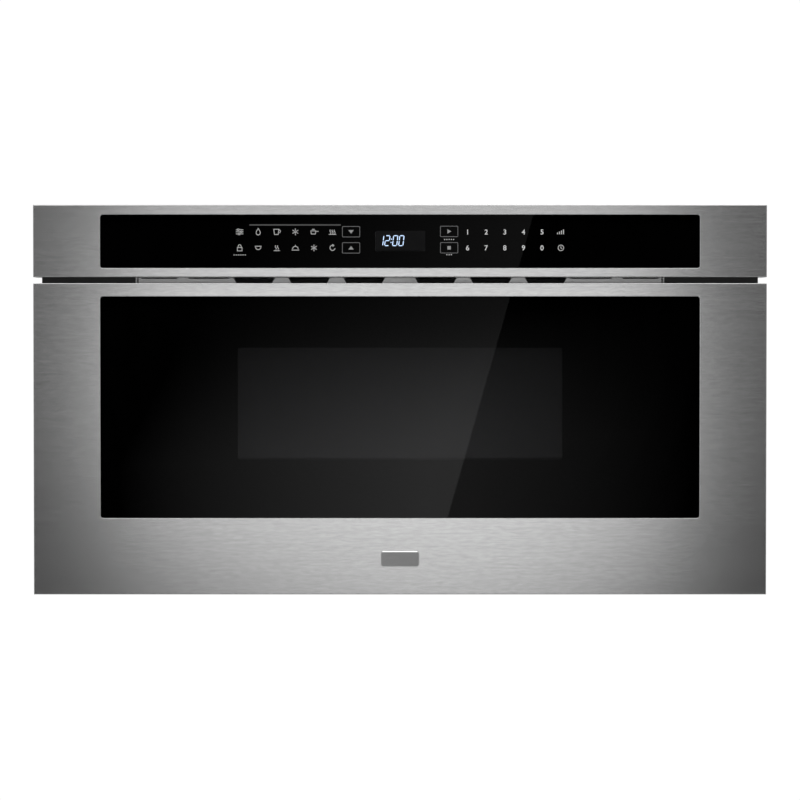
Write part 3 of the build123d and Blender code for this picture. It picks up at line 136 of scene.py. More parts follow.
plated_sheet = new_finish("zinc_plated_sheet", PLATED_GREY, metallic=1.0, roughness=0.36)
crystals = pattern(plated_sheet, "Voronoi", scale=CRYSTALS_PER_METRE, out="Color")
tint(plated_sheet, crystals, dark=(0.62, 0.63, 0.645), light=(0.69, 0.70, 0.71), low=0.1, high=0.9)
gloss(plated_sheet, crystals, smooth=0.34, rough=0.39, low=0.1, high=0.9)
relief(plated_sheet, pattern(plated_sheet, "Noise", scale=900, Detail=2.0), depth=0.000008)
relief(plated_sheet, pattern(plated_sheet, "Noise", scale=14, Detail=1.0), depth=0.00025)
dress(plated_sheet, "cabinet_wrap", "back_panel", "base_plate", "slide_brackets", "drive_bracket")


# ---- Skids and cord bushing ------------------------------------------------------
# Two moulded nylon skids carry the cabinet on the shelf of its cut-out, and a
# snap-in bushing of the same plastic lines the hole for the power cord.

MOULDED_BLACK = (0.016, 0.016, 0.017)

moulded_black = new_finish("moulded_black", MOULDED_BLACK, metallic=0.0, roughness=0.42)
mould_grain = pattern(moulded_black, "Noise", scale=1500, Detail=3.0)
tint(moulded_black, mould_grain, dark=(0.012, 0.012, 0.013), light=(0.021, 0.021, 0.022))
gloss(moulded_black, pattern(moulded_black, "Noise", scale=60, Detail=2.0), smooth=0.36, rough=0.50)
relief(moulded_black, mould_grain, depth=0.00003)
dress(moulded_black, "base_skids", "cord_bushing")


# ---- Screws ----------------------------------------------------------------------
# Pan-head sheet screws of zinc-plated steel, driven through the flanges of the
# wrap, the base and the back. They are brighter and smoother than the sheet.

bright_zinc = new_finish("bright_zinc", (0.74, 0.75, 0.76), metallic=1.0, roughness=0.24)
screw_wear = pattern(bright_zinc, "Noise", scale=700, Detail=3.0)
tint(bright_zinc, screw_wear, dark=(0.62, 0.63, 0.64), light=(0.80, 0.81, 0.82))
gloss(bright_zinc, screw_wear, smooth=0.18, rough=0.34)
dress(bright_zinc, "cabinet_screws")


# ---- Oven cavity -----------------------------------------------------------------
# The cavity is a welded steel box inside the cabinet, and the tub that slides out
# of it is pressed from the same sheet. Both are sprayed with light grey enamel
# that has fine darker specks and a slight orange-peel gloss.

ENAMEL_GREY = (0.47, 0.47, 0.455)
SPECKS_PER_METRE = 520

enamel = new_finish("grey_enamel", ENAMEL_GREY, metallic=0.0, roughness=0.28,
                    sockets={"Coat Weight": 0.3, "Coat Roughness": 0.12})
specks = pattern(enamel, "Noise", scale=SPECKS_PER_METRE, Detail=2.0)
tint(enamel, specks, dark=(0.38, 0.38, 0.375), light=ENAMEL_GREY, low=0.36, high=0.44)
gloss(enamel, specks, smooth=0.26, rough=0.32, low=0.36, high=0.44)
relief(enamel, pattern(enamel, "Noise", scale=240, Detail=1.0), depth=0.00002)
dress(enamel, "oven_cavity", "drawer_tub")


# ---- Microwave feed --------------------------------------------------------------
# A plated waveguide carries the power from the magnetron to the cavity roof, where
# an aluminium stirrer turns above a white plastic cover. The magnetron has a steel
# yoke, a copper anode, pressed aluminium fins and an aluminium antenna cap.

WHITE_PLASTIC = (0.78, 0.78, 0.76)

dress(plated_sheet, "waveguide", "magnetron_yoke")

white_moulding = new_finish("white_moulding", WHITE_PLASTIC, metallic=0.0, roughness=0.38,
                            sockets={"Subsurface Weight": 0.08})
shader_of(white_moulding).inputs["Subsurface Radius"].default_value = (0.004, 0.004, 0.0035)
tint(white_moulding, pattern(white_moulding, "Noise", scale=40, Detail=3.0),
     dark=(0.72, 0.72, 0.70), light=(0.80, 0.80, 0.78))
relief(white_moulding, pattern(white_moulding, "Noise", scale=1300, Detail=2.0), depth=0.00002)
dress(white_moulding, "stirrer_cover")

rolled_aluminium = new_finish("rolled_aluminium", (0.80, 0.81, 0.82), metallic=1.0, roughness=0.30)
rolling_lines = pattern(rolled_aluminium, "Noise", scale=1.0, stretch=(30, 1400, 1400), Detail=3.0)
tint(rolled_aluminium, rolling_lines, dark=(0.72, 0.73, 0.74), light=(0.84, 0.85, 0.86))
gloss(rolled_aluminium, rolling_lines, smooth=0.24, rough=0.36)
dress(rolled_aluminium, "stirrer", "magnetron_fins", "magnetron_antenna", "hv_capacitor")

anode_copper = new_finish("anode_copper", (0.72, 0.40, 0.24), metallic=1.0, roughness=0.32)
tarnish = pattern(anode_copper, "Noise", scale=90, Detail=4.0)
tint(anode_copper, tarnish, dark=(0.50, 0.25, 0.15), light=(0.78, 0.45, 0.28))
gloss(anode_copper, tarnish, smooth=0.26, rough=0.44)
dress(anode_copper, "magnetron_anode")

dress(plated_sheet, "stirrer_motor")


# ---- Cooling fan and oven lamp ---------------------------------------------------
# The fan is a plated shroud with a shaded-pole motor and a moulded grey blade. Its
# motor core is a stack of varnished laminations. The lamp sits in a plated box.

MOULDED_GREY = (0.33, 0.33, 0.34)
LAMINATIONS_PER_METRE = 320

dress(plated_sheet, "fan_shroud", "lamp_housing")

moulded_grey = new_finish("moulded_grey", MOULDED_GREY, metallic=0.0, roughness=0.42)
tint(moulded_grey, pattern(moulded_grey, "Noise", scale=80, Detail=3.0),
     dark=(0.29, 0.29, 0.30), light=(0.35, 0.35, 0.36))
relief(moulded_grey, pattern(moulded_grey, "Noise", scale=1500, Detail=2.0), depth=0.00003)
dress(moulded_grey, "fan_blade")

varnished_core = new_finish("varnished_core", (0.19, 0.18, 0.17), metallic=0.6, roughness=0.40)
stack_lines = pattern(varnished_core, "Wave", scale=LAMINATIONS_PER_METRE, bands_direction="Y",
                      Distortion=0.3)
tint(varnished_core, stack_lines, dark=(0.09, 0.085, 0.08), light=(0.24, 0.22, 0.21),
     low=0.2, high=0.8)
relief(varnished_core, stack_lines, depth=0.0001)
dress(varnished_core, "fan_motor", "transformer_core")

bulb_glass = new_finish("bulb_glass", (0.95, 0.93, 0.88), metallic=0.0, roughness=0.05,
                        sockets={"Transmission Weight": 1.0, "IOR": 1.47})
gloss(bulb_glass, pattern(bulb_glass, "Noise", scale=120, Detail=2.0), smooth=0.02, rough=0.08)
dress(bulb_glass, "oven_lamp")


# ---- High-voltage parts and sensors ----------------------------------------------
# Beside the cavity stand the transformer, with its enamelled copper coils, the
# capacitor can and the diode. The noise filter is a small board, and the thermal
# cut-outs and the humidity sensor are moulded parts screwed to the sheet metal.

TURNS_PER_METRE = 520

winding = new_finish("enamelled_winding", (0.62, 0.29, 0.12), metallic=0.85, roughness=0.30,
                     sockets={"Coat Weight": 0.6, "Coat Roughness": 0.1})
wire_bands = pattern(winding, "Wave", scale=TURNS_PER_METRE, bands_direction="Z", Distortion=0.15)
tint(winding, wire_bands, dark=(0.30, 0.12, 0.05), light=(0.70, 0.35, 0.16), low=0.1, high=0.7)
relief(winding, wire_bands, depth=0.00015)
dress(winding, "transformer_coils")

solder_mask = new_finish("solder_mask", (0.04, 0.20, 0.09), metallic=0.0, roughness=0.30,
                         sockets={"Coat Weight": 0.4, "Coat Roughness": 0.1})
tracks = pattern(solder_mask, "Brick", scale=60)
tint(solder_mask, tracks, dark=(0.03, 0.15, 0.07), light=(0.06, 0.26, 0.12), low=0.2, high=0.8)
relief(solder_mask, tracks, depth=0.00003)
dress(solder_mask, "noise_filter", "control_board")
dress(moulded_black, "hv_diode", "thermal_cutouts", "humidity_sensor")


# ---- Slides and drive ------------------------------------------------------------
# The drawer runs on full-extension ball slides of cold-rolled, zinc-plated steel,
# with drawing lines along their length. A grey geared motor turns a white acetal
# pinion in a white acetal rack under the tub.

slide_steel = new_finish("slide_steel", (0.70, 0.71, 0.72), metallic=1.0, roughness=0.26)
draw_lines = pattern(slide_steel, "Noise", scale=1.0, stretch=(1500, 14, 1500), Detail=3.0)
tint(slide_steel, draw_lines, dark=(0.65, 0.66, 0.67), light=(0.74, 0.75, 0.76))
gloss(slide_steel, draw_lines, smooth=0.25, rough=0.32)
dress(slide_steel, "slide_outers", "slide_middle_right", "slide_middle_left", "slide_inners")
dress(slide_steel, "drawer_arms")
dress(moulded_grey, "drive_motor")
dress(white_moulding, "drive_pinion", "drive_rack")


# ---- Door interlock --------------------------------------------------------------
# Two moulded hooks on the drawer front enter white switch holders behind the face
# frame, and each works small black switches that cut the power.

dress(moulded_black, "latch_hooks", "interlock_switches")
dress(white_moulding, "switch_holders")


# ---- Face frame ------------------------------------------------------------------
# A flat frame of sheet steel closes the cabinet's front edge and overlaps the
# cut-out of the furniture. It is powder-coated satin black.

satin_black = new_finish("satin_black_coat", (0.012, 0.012, 0.012), metallic=0.0, roughness=0.38)
powder_grain = pattern(satin_black, "Noise", scale=1100, Detail=3.0)
tint(satin_black, powder_grain, dark=(0.009, 0.009, 0.009), light=(0.016, 0.016, 0.016))
gloss(satin_black, powder_grain, smooth=0.33, rough=0.44)
relief(satin_black, powder_grain, depth=0.00003)
dress(satin_black, "front_frame")


# ---- Vent grille and duct --------------------------------------------------------
# Air leaves between the two front panels through a pressed steel grille with tapered
# slots and a folded hem at each end. It closes a sheet-metal duct over the cavity, whose
# dark grey is painted shade for the dim air path behind the slots.

grille_steel = new_finish("grille_steel", (0.56, 0.56, 0.56), metallic=1.0, roughness=0.36)
grille_lines = pattern(grille_steel, "Noise", scale=1.0, stretch=(40, 900, 1800), Detail=3.0)
tint(grille_steel, grille_lines, dark=(0.50, 0.50, 0.50), light=(0.60, 0.60, 0.60))
gloss(grille_steel, grille_lines, smooth=0.30, rough=0.42)
dress(grille_steel, "vent_grille")

# painted shade: the duct is coloured dark grey so that the air path behind the slots reads shaded
duct_painted_shade = new_finish("duct_painted_shade", (0.045, 0.045, 0.045), metallic=0.0, roughness=0.6)
duct_grain = pattern(duct_painted_shade, "Noise", scale=700, Detail=2.0)
tint(duct_painted_shade, duct_grain, dark=(0.040, 0.040, 0.040), light=(0.050, 0.050, 0.050))
gloss(duct_painted_shade, duct_grain, smooth=0.55, rough=0.66)
dress(duct_painted_shade, "air_duct")


# ---- Control panel shell ---------------------------------------------------------
# The control panel is a brushed stainless fascia with its edges turned back over a
# moulded chassis. The grain of the steel runs from side to side: scratches too fine
# to be told apart, and faint brush marks about two millimetres high among them.

BRUSHED_STEEL = (0.62, 0.62, 0.62)

brushed_steel = new_finish("brushed_stainless", BRUSHED_STEEL, metallic=1.0, roughness=0.20,
                           sockets={"Anisotropic": 0.5, "Anisotropic Rotation": 0.25})
grain_direction = brushed_steel.node_tree.nodes.new("ShaderNodeTangent")
grain_direction.direction_type = "RADIAL"
grain_direction.axis = "Z"
brushed_steel.node_tree.links.new(grain_direction.outputs["Tangent"],
                                  shader_of(brushed_steel).inputs["Tangent"])
scratches = pattern(brushed_steel, "Noise", scale=1.0, stretch=(45, 45, 3800), Detail=4.0)
brush_marks = pattern(brushed_steel, "Noise", scale=1.0, stretch=(110, 110, 560), Detail=2.0)
tint(brushed_steel, brush_marks, dark=(0.581, 0.581, 0.581), light=(0.659, 0.659, 0.659),
     low=0.25, high=0.75)
gloss(brushed_steel, pattern(brushed_steel, "Noise", scale=1.0, stretch=(8, 8, 900), Detail=3.0),
      smooth=0.19, rough=0.21)
relief(brushed_steel, scratches, depth=0.000004)
dress(brushed_steel, "control_fascia")

matt_black = new_finish("matt_black_lining", (0.004, 0.004, 0.004), metallic=0.0, roughness=0.9,
                        sockets={"Specular IOR Level": 0.1})
lint = pattern(matt_black, "Noise", scale=300, Detail=2.0)
tint(matt_black, lint, dark=(0.003, 0.003, 0.003), light=(0.005, 0.005, 0.005))
dress(matt_black, "control_chassis")


# ---- Display and touch film ------------------------------------------------------
# Behind the glass a printed touch film covers the keys, and a grey module on the
# circuit board holds the clock display.

dress(matt_black, "touch_panel")
dress(moulded_grey, "display_module")


# ---- Control glass ---------------------------------------------------------------
# A four-millimetre pane of tinted glass with polished edges is bonded flush into
# the fascia. It throws no shadow, so that the lights reach what lies behind it.

GLASS_TINT = (0.12, 0.12, 0.125)

dark_glass = new_finish("tinted_glass", GLASS_TINT, metallic=0.0, roughness=0.0,
                        sockets={"Transmission Weight": 1.0, "IOR": 1.5})
gloss(dark_glass, pattern(dark_glass, "Noise", scale=30, Detail=2.0), smooth=0.0, rough=0.012)
dress(dark_glass, "control_glass")
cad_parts["control_glass"].visible_shadow = False


# ---- Legends on the control glass ------------------------------------------------
# The keys are screen-printed in light ink on the glass: two rows of plain pictograms,
# four outlined keys with plain signs, rows of small dots and the digits 0 to 9. A faint
# grey rule runs over five of the pictogram columns.

GLASS_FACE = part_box("control_glass")[0].y
INK_THICKNESS = 0.00005
LINE_WIDTH = 0.00062
SHARPEST_MITRE = 0.4  # a corner's ink reaches out at most 1 / 0.4 times half its width
MARK_SCALE = 1.2
WAVE_SWING = 0.5
UPPER_ROW = 0.3766
LOWER_ROW = 0.3600
FIRST_COLUMN = -0.1658
COLUMN_PITCH = 0.0192
LABEL_COLUMN = 0.1664
LEFT_KEYS = -0.0506
RIGHT_KEYS = 0.0508


def plate(mesh, outline, face_y=GLASS_FACE, thickness=INK_THICKNESS):
    """A thin plate with the outline (x, z), its back sunk half its thickness into the face."""
    back = face_y + thickness / 2
    front = face_y - thickness
    near = [mesh.verts.new((x, front, z)) for x, z in outline]
    far = [mesh.verts.new((x, back, z)) for x, z in outline]
    mesh.faces.new(near)
    mesh.faces.new(far[::-1])
    count = len(outline)
    for i in range(count):
        after = (i + 1) % count
        mesh.faces.new((near[i], far[i], far[after], near[after]))


def stroke(mesh, points, width, closed=False):
    """A line of ink through the points (x, z), with mitred corners."""
    spots = [Vector(point) for point in points]
    count = len(spots)
    back = GLASS_FACE + INK_THICKNESS / 2
    front = GLASS_FACE - INK_THICKNESS
    rings = []
    for i, spot in enumerate(spots):
        ways = []
        if closed or i > 0:
            ways.append((spot - spots[i - 1]).normalized())
        if closed or i < count - 1:
            ways.append((spots[(i + 1) % count] - spot).normalized())
        sides = [Vector((-way.y, way.x)) for way in ways]
        side = sum(sides, Vector((0, 0))).normalized()
        reach = width / 2 / max(SHARPEST_MITRE, side.dot(sides[0]))
        left, right = spot + side * reach, spot - side * reach
        corners = ((left.x, front, left.y), (right.x, front, right.y),
                   (right.x, back, right.y), (left.x, back, left.y))
        rings.append([mesh.verts.new(corner) for corner in corners])
    pairs = list(zip(rings, rings[1:]))
    if closed:
        pairs.append((rings[-1], rings[0]))
    for one, two in pairs:
        for k in range(4):
            mesh.faces.new((one[k], one[(k + 1) % 4], two[(k + 1) % 4], two[k]))
    if not closed:
        mesh.faces.new(rings[0][::-1])
        mesh.faces.new(rings[-1])


def arc(x, z, radius, start=0.0, end=360.0, steps=20):
    """Points on an arc about (x, z), from start to end degrees."""
    turns = [math.radians(start + (end - start) * i / steps) for i in range(steps + 1)]
    if abs(end - start) >= 360:
        turns = turns[:-1]
    return [(x + radius * math.cos(turn), z + radius * math.sin(turn)) for turn in turns]


def rectangle(left, right, low, high):
    """The four corners of a rectangle."""
    return [(left, low), (right, low), (right, high), (left, high)]


def printed(name, mesh, finish, body="cabinet"):
    """Makes the finished ink mesh a piece that rides on the body."""
    bmesh.ops.recalc_face_normals(mesh, faces=mesh.faces)
    data = bpy.data.meshes.new(name)
    mesh.to_mesh(data)
    mesh.free()
    piece = bpy.data.objects.new(name, data)
    studio.collection.objects.link(piece)
    data.materials.append(finish)
    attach(piece, body)


def ink(name, colour):
    """Screen-printed ink: flat, slightly grainy and matt."""
    finish = new_finish(name, colour, metallic=0.0, roughness=0.55)
    speckle = pattern(finish, "Noise", scale=2500, Detail=2.0)
    tint(finish, speckle, dark=tuple(0.93 * c for c in colour),
         light=tuple(min(1.0, 1.05 * c) for c in colour))
    return finish


marks = bmesh.new()


def at(x, z, points):
    """The points, given in millimetres as they were drawn, set about the mark's centre."""
    return [(x + MARK_SCALE * px / 1000, z + MARK_SCALE * pz / 1000) for px, pz in points]


def line(x, z, points, closed=False, width=LINE_WIDTH):
    """A line of a pictogram through the points."""
    stroke(marks, at(x, z, points), width, closed)


def ring(x, z, radius, start=0, end=360, steps=20, cx=0.0, cz=0.0):
    """A ring or an arc of a pictogram about (cx, cz)."""
    line(x, z, arc(cx, cz, radius, start, end, steps), closed=abs(end - start) >= 360)


def ray(x, z, turn, near, far):
    """A straight line of a pictogram at turn degrees, on a line through its centre."""
    c, s = math.cos(math.radians(turn)), math.sin(math.radians(turn))
    line(x, z, [(near * c, near * s), (far * c, far * s)])


def wave(x, z, cx, height):
    """One rising line of heat."""
    line(x, z, [(cx + WAVE_SWING * math.sin(2 * math.pi * i / 10), -height / 2 + height * i / 10)
                for i in range(11)])


columns = [FIRST_COLUMN + COLUMN_PITCH * i for i in range(6)]

# upper row: sliders, drop, cup, burst, pan, plate with heat
x, z = columns[0], UPPER_ROW
for level, knob in ((1.8, -1.2), (0.0, 1.4), (-1.8, -0.4)):
    line(x, z, [(-3.2, level), (knob - 0.8, level)])
    line(x, z, [(knob + 0.8, level), (3.2, level)])
    ring(x, z, 0.75, cx=knob, cz=level, steps=10)
x = columns[1]
line(x, z, [(0.0, 2.9), (1.4, 0.6), (1.9, -0.9), (1.2, -2.3), (0.0, -2.8), (-1.2, -2.3),
            (-1.9, -0.9), (-1.4, 0.6)], closed=True)
x = columns[2]
line(x, z, [(-2.6, 2.2), (-2.0, -2.3), (1.2, -2.3), (1.8, 2.2)], closed=True)
ring(x, z, 1.3, -80, 80, 8, cx=1.8, cz=0.4)
x = columns[3]
for turn in range(30, 360, 60):
    ray(x, z, turn, 1.3, 2.9)
ring(x, z, 0.8, steps=10)
x = columns[4]
line(x, z, [(-2.6, 0.8), (-2.3, -1.9), (1.3, -1.9), (1.6, 0.8)], closed=True)
line(x, z, [(2.0, 0.4), (4.0, 0.4)])
line(x, z, [(-1.6, 2.1), (0.6, 2.1)])
x = columns[5]
line(x, z, [(-3.2, -2.2), (3.2, -2.2)])
for shift in (-1.8, 0.0, 1.8):
    wave(x, z, shift, 3.4)

# lower row: padlock, bowl, plate with two waves, covered dish, flake, turning arrow
z = LOWER_ROW
x = columns[0]
line(x, z, [(-2.0, 0.3), (2.0, 0.3), (2.0, -2.6), (-2.0, -2.6)], closed=True)
line(x, z, [(-1.3, 0.7), (-1.3, 1.5), (-0.8, 2.4), (0.0, 2.8), (0.8, 2.4), (1.3, 1.5), (1.3, 0.7)])
x = columns[1]
ring(x, z, 2.3, 180, 360, 12, cz=0.8)
line(x, z, [(-2.9, 1.4), (2.9, 1.4)])
x = columns[2]
line(x, z, [(-2.6, -2.4), (2.6, -2.4)])
wave(x, z + 0.0004, -0.9, 3.6)
wave(x, z + 0.0004, 0.9, 3.6)
x = columns[3]
ring(x, z, 2.5, 0, 180, 14, cz=-1.2)
line(x, z, [(-3.2, -1.9), (3.2, -1.9)])
line(x, z, [(0.0, 1.6), (0.0, 2.6)])
x = columns[4]
for turn in (30, 90, 150):
    ray(x, z, turn, -2.8, -0.35)
    ray(x, z, turn, 0.35, 2.8)
x = columns[5]
ring(x, z, 2.2, 60, 350, 16)
line(x, z, [(0.1, 1.0), (1.2, 2.2), (-0.2, 3.1)])

# right-hand labels: level bars and a clock face
x, z = LABEL_COLUMN, UPPER_ROW
for step, height in enumerate((1.4, 2.3, 3.2, 4.1)):
    left = -2.9 + 1.7 * step
    line(x, z, [(left, -2.1), (left, -2.1 + height)], width=0.0009)
z = LOWER_ROW
ring(x, z, 2.4, steps=20)
line(x, z, [(0.0, 1.5), (0.0, -0.1), (1.2, -0.7)])

# rows of small dots under three of the keys: middle, height and number of each row
DOT_ROWS = ((FIRST_COLUMN, 0.3527, 6), (RIGHT_KEYS, 0.3687, 5), (RIGHT_KEYS, 0.3530, 3))
DOT_RADIUS = 0.0006
DOT_PITCH = 0.0023
for x, z, count in DOT_ROWS:
    for i in range(count):
        spot = x + DOT_PITCH * (i - (count - 1) / 2)
        plate(marks, arc(spot, z, DOT_RADIUS, steps=10))
printed("key_pictograms", marks, ink("label_ink", (0.80, 0.80, 0.80)))

# outlines of the four keys
KEY_BOXES = ((LEFT_KEYS, 0.3767), (LEFT_KEYS, 0.3600), (RIGHT_KEYS, 0.3770), (RIGHT_KEYS, 0.3601))
BOX_HALF_WIDTH = 0.0090
BOX_HALF_HEIGHT = 0.0054
BOX_CORNER = 0.0008
BOX_LINE = 0.0005
outlines = bmesh.new()
w, h = BOX_HALF_WIDTH - BOX_CORNER, BOX_HALF_HEIGHT - BOX_CORNER
for x, z in KEY_BOXES:
    border = []
    for cx, cz, start in ((w, h, 0), (-w, h, 90), (-w, -h, 180), (w, -h, 270)):
        border += arc(x + cx, z + cz, BOX_CORNER, start, start + 90, steps=4)
    stroke(outlines, border, BOX_LINE, closed=True)
printed("key_outlines", outlines, ink("outline_ink", (0.27, 0.27, 0.275)))

rule = bmesh.new()
plate(rule, rectangle(left=-0.1556, right=-0.0611, low=0.3830, high=0.3844))
printed("column_rule", rule, ink("rule_ink", (0.10, 0.10, 0.10)))

# signs in the four keys: triangles that point down, up and right, and a square
KEY_SIGNS = (
    [(-2.3, 1.4), (2.3, 1.4), (0.0, -1.6)],
    [(-2.3, -1.4), (0.0, 1.6), (2.3, -1.4)],
    [(-1.5, -1.9), (1.9, 0.0), (-1.5, 1.9)],
    [(-1.5, -1.5), (1.5, -1.5), (1.5, 1.5), (-1.5, 1.5)],
)
signs = bmesh.new()
for (x, z), shape in zip(KEY_BOXES, KEY_SIGNS):
    plate(signs, at(x, z, shape))
printed("key_signs", signs, ink("sign_ink", (0.45, 0.45, 0.45)))

DIGIT_ROWS = ((0.3764, "12345"), (0.3600, "67890"))
FIRST_DIGIT = 0.0699
DIGIT_PITCH = 0.01924
DIGIT_SIZE = 0.0073
DIGIT_WEIGHT = 0.013  # share of its size by which a digit's strokes are thickened


def digit(text, x, z):
    """The mesh of a plain printed digit centred at (x, z)."""
    letter = bpy.data.curves.new("digit", "FONT")
    letter.body = text
    letter.size = DIGIT_SIZE
    letter.align_x, letter.align_y = "CENTER", "CENTER"
    letter.extrude = INK_THICKNESS / 2
    letter.offset = DIGIT_SIZE * DIGIT_WEIGHT
    letter.resolution_u = 5
    shown = bpy.data.objects.new("digit", letter)
    flat = bpy.data.meshes.new_from_object(shown)
    xs = [v.co.x for v in flat.vertices]
    ys = [v.co.y for v in flat.vertices]
    middle = Vector(((min(xs) + max(xs)) / 2, (min(ys) + max(ys)) / 2, 0))
    flat.transform(Matrix.Translation(Vector((x, GLASS_FACE - INK_THICKNESS / 2, z)))
                   @ Matrix.Rotation(math.pi / 2, 4, "X") @ Matrix.Translation(-middle))
    bpy.data.objects.remove(shown)
    bpy.data.curves.remove(letter)
    return flat


digits = bmesh.new()
for z, texts in DIGIT_ROWS:
    for place, text in enumerate(texts):
        part = digit(text, FIRST_DIGIT + DIGIT_PITCH * place, z)
        digits.from_mesh(part)
        bpy.data.meshes.remove(part)
printed("key_digits", digits, ink("digit_ink", (0.96, 0.96, 0.96)))


# ---- Clock display ---------------------------------------------------------------
# The display shows through a clear window in the tint: a dark grey field with
# slanted light-blue bars that read a plain twelve o'clock.

FIELD_THICKNESS = 0.00003
CLOCK_LEFT = -0.0195
CLOCK_BASE = 0.3623
CLOCK_DIGITS = ((-0.0028, "1"), (0.0036, "2"), (0.0117, "0"), (0.0181, "0"))
CLOCK_DIGIT_WIDTH = 0.0044
CLOCK_DIGIT_HEIGHT = 0.0103
BAR_WIDTH = 0.0009
BAR_THICKNESS = 0.00004
BAR_LEAN = 0.12  # sideways, for each metre of height
BAR_END = 0.25  # share of its width by which a bar stops short of the digit's corner
COLON_PLACE = 0.0098
COLON_HEIGHTS = (0.0033, 0.0068)
COLON_RADIUS = 0.0006

display = bmesh.new()
plate(display, rectangle(left=-0.0251, right=0.0261, low=0.3578, high=0.3776),
      thickness=FIELD_THICKNESS)
display_field = new_finish("display_field", (0.0085, 0.0085, 0.009), metallic=0.0, roughness=0.30,
                           sockets={"Specular IOR Level": 0.05})
tint(display_field, pattern(display_field, "Noise", scale=90, Detail=2.0),
     dark=(0.0075, 0.0075, 0.008), light=(0.0095, 0.0095, 0.010))
printed("clock_field", display, display_field)

bars = bmesh.new()


def lit(outline):
    """A lit shape that lies on the display's field."""
    plate(bars, outline, face_y=GLASS_FACE - FIELD_THICKNESS, thickness=BAR_THICKNESS)


def bar(x, z, one, two):
    """A lit bar between two points of a digit, with pointed ends, slanted with height."""
    a, b = Vector(one), Vector(two)
    way = (b - a).normalized()
    side = Vector((-way.y, way.x)) * BAR_WIDTH / 2
    a, b = a + way * BAR_WIDTH * BAR_END, b - way * BAR_WIDTH * BAR_END
    tip = way * BAR_WIDTH / 2
    shape = [a, a + tip + side, b - tip + side, b, b - tip - side, a + tip - side]
    lit([(x + p.x + BAR_LEAN * p.y, z + p.y) for p in shape])


# the ends of a digit's seven bars, and the bars that each digit lights
w, h = CLOCK_DIGIT_WIDTH, CLOCK_DIGIT_HEIGHT
BAR_ENDS = {
    "top": ((0, h), (w, h)),
    "upper_right": ((w, h / 2), (w, h)),
    "lower_right": ((w, 0), (w, h / 2)),
    "bottom": ((0, 0), (w, 0)),
    "lower_left": ((0, 0), (0, h / 2)),
    "upper_left": ((0, h / 2), (0, h)),
    "middle": ((0, h / 2), (w, h / 2)),
}
BARS_OF_DIGIT = {
    "0": ("top", "upper_right", "lower_right", "bottom", "lower_left", "upper_left"),
    "1": ("upper_right", "lower_right"),
    "2": ("top", "upper_right", "middle", "lower_left", "bottom"),
}
for place, text in CLOCK_DIGITS:
    for name in BARS_OF_DIGIT[text]:
        bar(CLOCK_LEFT + place, CLOCK_BASE, *BAR_ENDS[name])
for height in COLON_HEIGHTS:
    lit(arc(CLOCK_LEFT + COLON_PLACE + BAR_LEAN * height, CLOCK_BASE + height, COLON_RADIUS, steps=10))
lit_bars = new_finish("lit_bars", (0.30, 0.42, 0.60), metallic=0.0, roughness=0.5,
                      sockets={"Emission Color": (0.58, 0.74, 1.0, 1.0), "Emission Strength": 1.0})
tint(lit_bars, pattern(lit_bars, "Noise", scale=600, Detail=1.0),
     dark=(0.28, 0.40, 0.58), light=(0.32, 0.44, 0.62))
printed("clock_bars", bars, lit_bars)


# ---- Drawer front ----------------------------------------------------------------
# The drawer front is a brushed stainless skin, turned back at its edges like the
# control panel, over a pressed choke frame that keeps the microwaves in. A black
# plastic cover closes the choke, and a moulded carrier holds the window.

dress(brushed_steel, "drawer_skin")
dress(moulded_black, "choke_cover")
dress(matt_black, "glass_carrier")
dress(slide_steel, "choke_frame")

dress(dark_glass, "drawer_glass")
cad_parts["drawer_glass"].visible_shadow = False


# ---- Window screen and inner pane ------------------------------------------------
# Behind the tinted pane a perforated steel screen, enamelled dark grey, holds the
# microwaves back while the light comes through. A clear pane closes it inside.

HOLES_PER_METRE = 500

screen_steel = new_finish("perforated_screen", (0.05, 0.05, 0.05), metallic=0.0, roughness=0.50)
# the near-black dots of the holes are painted shade: they stand for the dark inside of the tub seen
# through the perforations
painted_hole_shade = pattern(screen_steel, "Voronoi", scale=HOLES_PER_METRE, out="Distance", Randomness=0.0)
tint(screen_steel, painted_hole_shade, dark=(0.002, 0.002, 0.002), light=(0.08, 0.08, 0.08), low=0.36, high=0.42)
dress(screen_steel, "window_screen")

clear_pane = new_finish("clear_pane", (0.92, 0.95, 0.94), metallic=0.0, roughness=0.0,
                        sockets={"Transmission Weight": 1.0, "IOR": 1.5})
gloss(clear_pane, pattern(clear_pane, "Noise", scale=40, Detail=2.0), smooth=0.0, rough=0.015)
dress(clear_pane, "inner_pane")
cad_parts["inner_pane"].visible_shadow = False


# ---- Nameplate -------------------------------------------------------------------
# A small bevelled plate of bright steel is glued to the middle of the lower rail.
# Its face is blank.

bright_plate = new_finish("bright_plate", (0.80, 0.80, 0.80), metallic=1.0, roughness=0.22)
plate_haze = pattern(bright_plate, "Noise", scale=1.0, stretch=(60, 60, 2500), Detail=2.0)
gloss(bright_plate, plate_haze, smooth=0.19, rough=0.26)
tint(bright_plate, plate_haze, dark=(0.77, 0.77, 0.77), light=(0.82, 0.82, 0.82))
dress(bright_plate, "badge_plate")


# ---- Glass tray ------------------------------------------------------------------
# The food stands on a fixed plate of opal glass-ceramic, which lies in the bottom
# of the tub and is sealed round its edge.

opal_glass = new_finish("opal_glass", (0.84, 0.85, 0.84), metallic=0.0, roughness=0.12,
                        sockets={"Coat Weight": 0.5, "Coat Roughness": 0.04})
tint(opal_glass, pattern(opal_glass, "Noise", scale=20, Detail=3.0),
     dark=(0.82, 0.83, 0.82), light=(0.86, 0.87, 0.86))
gloss(opal_glass, pattern(opal_glass, "Noise", scale=50, Detail=2.0), smooth=0.10, rough=0.16)
dress(opal_glass, "glass_tray")


# ---- Studio ----------------------------------------------------------------------
# A white table runs into a white background. Behind the camera one glowing card is
# mirrored by the steel and another, with a slanted edge, by the glass. Soft lights
# fill in from behind the camera, from above and from the back.

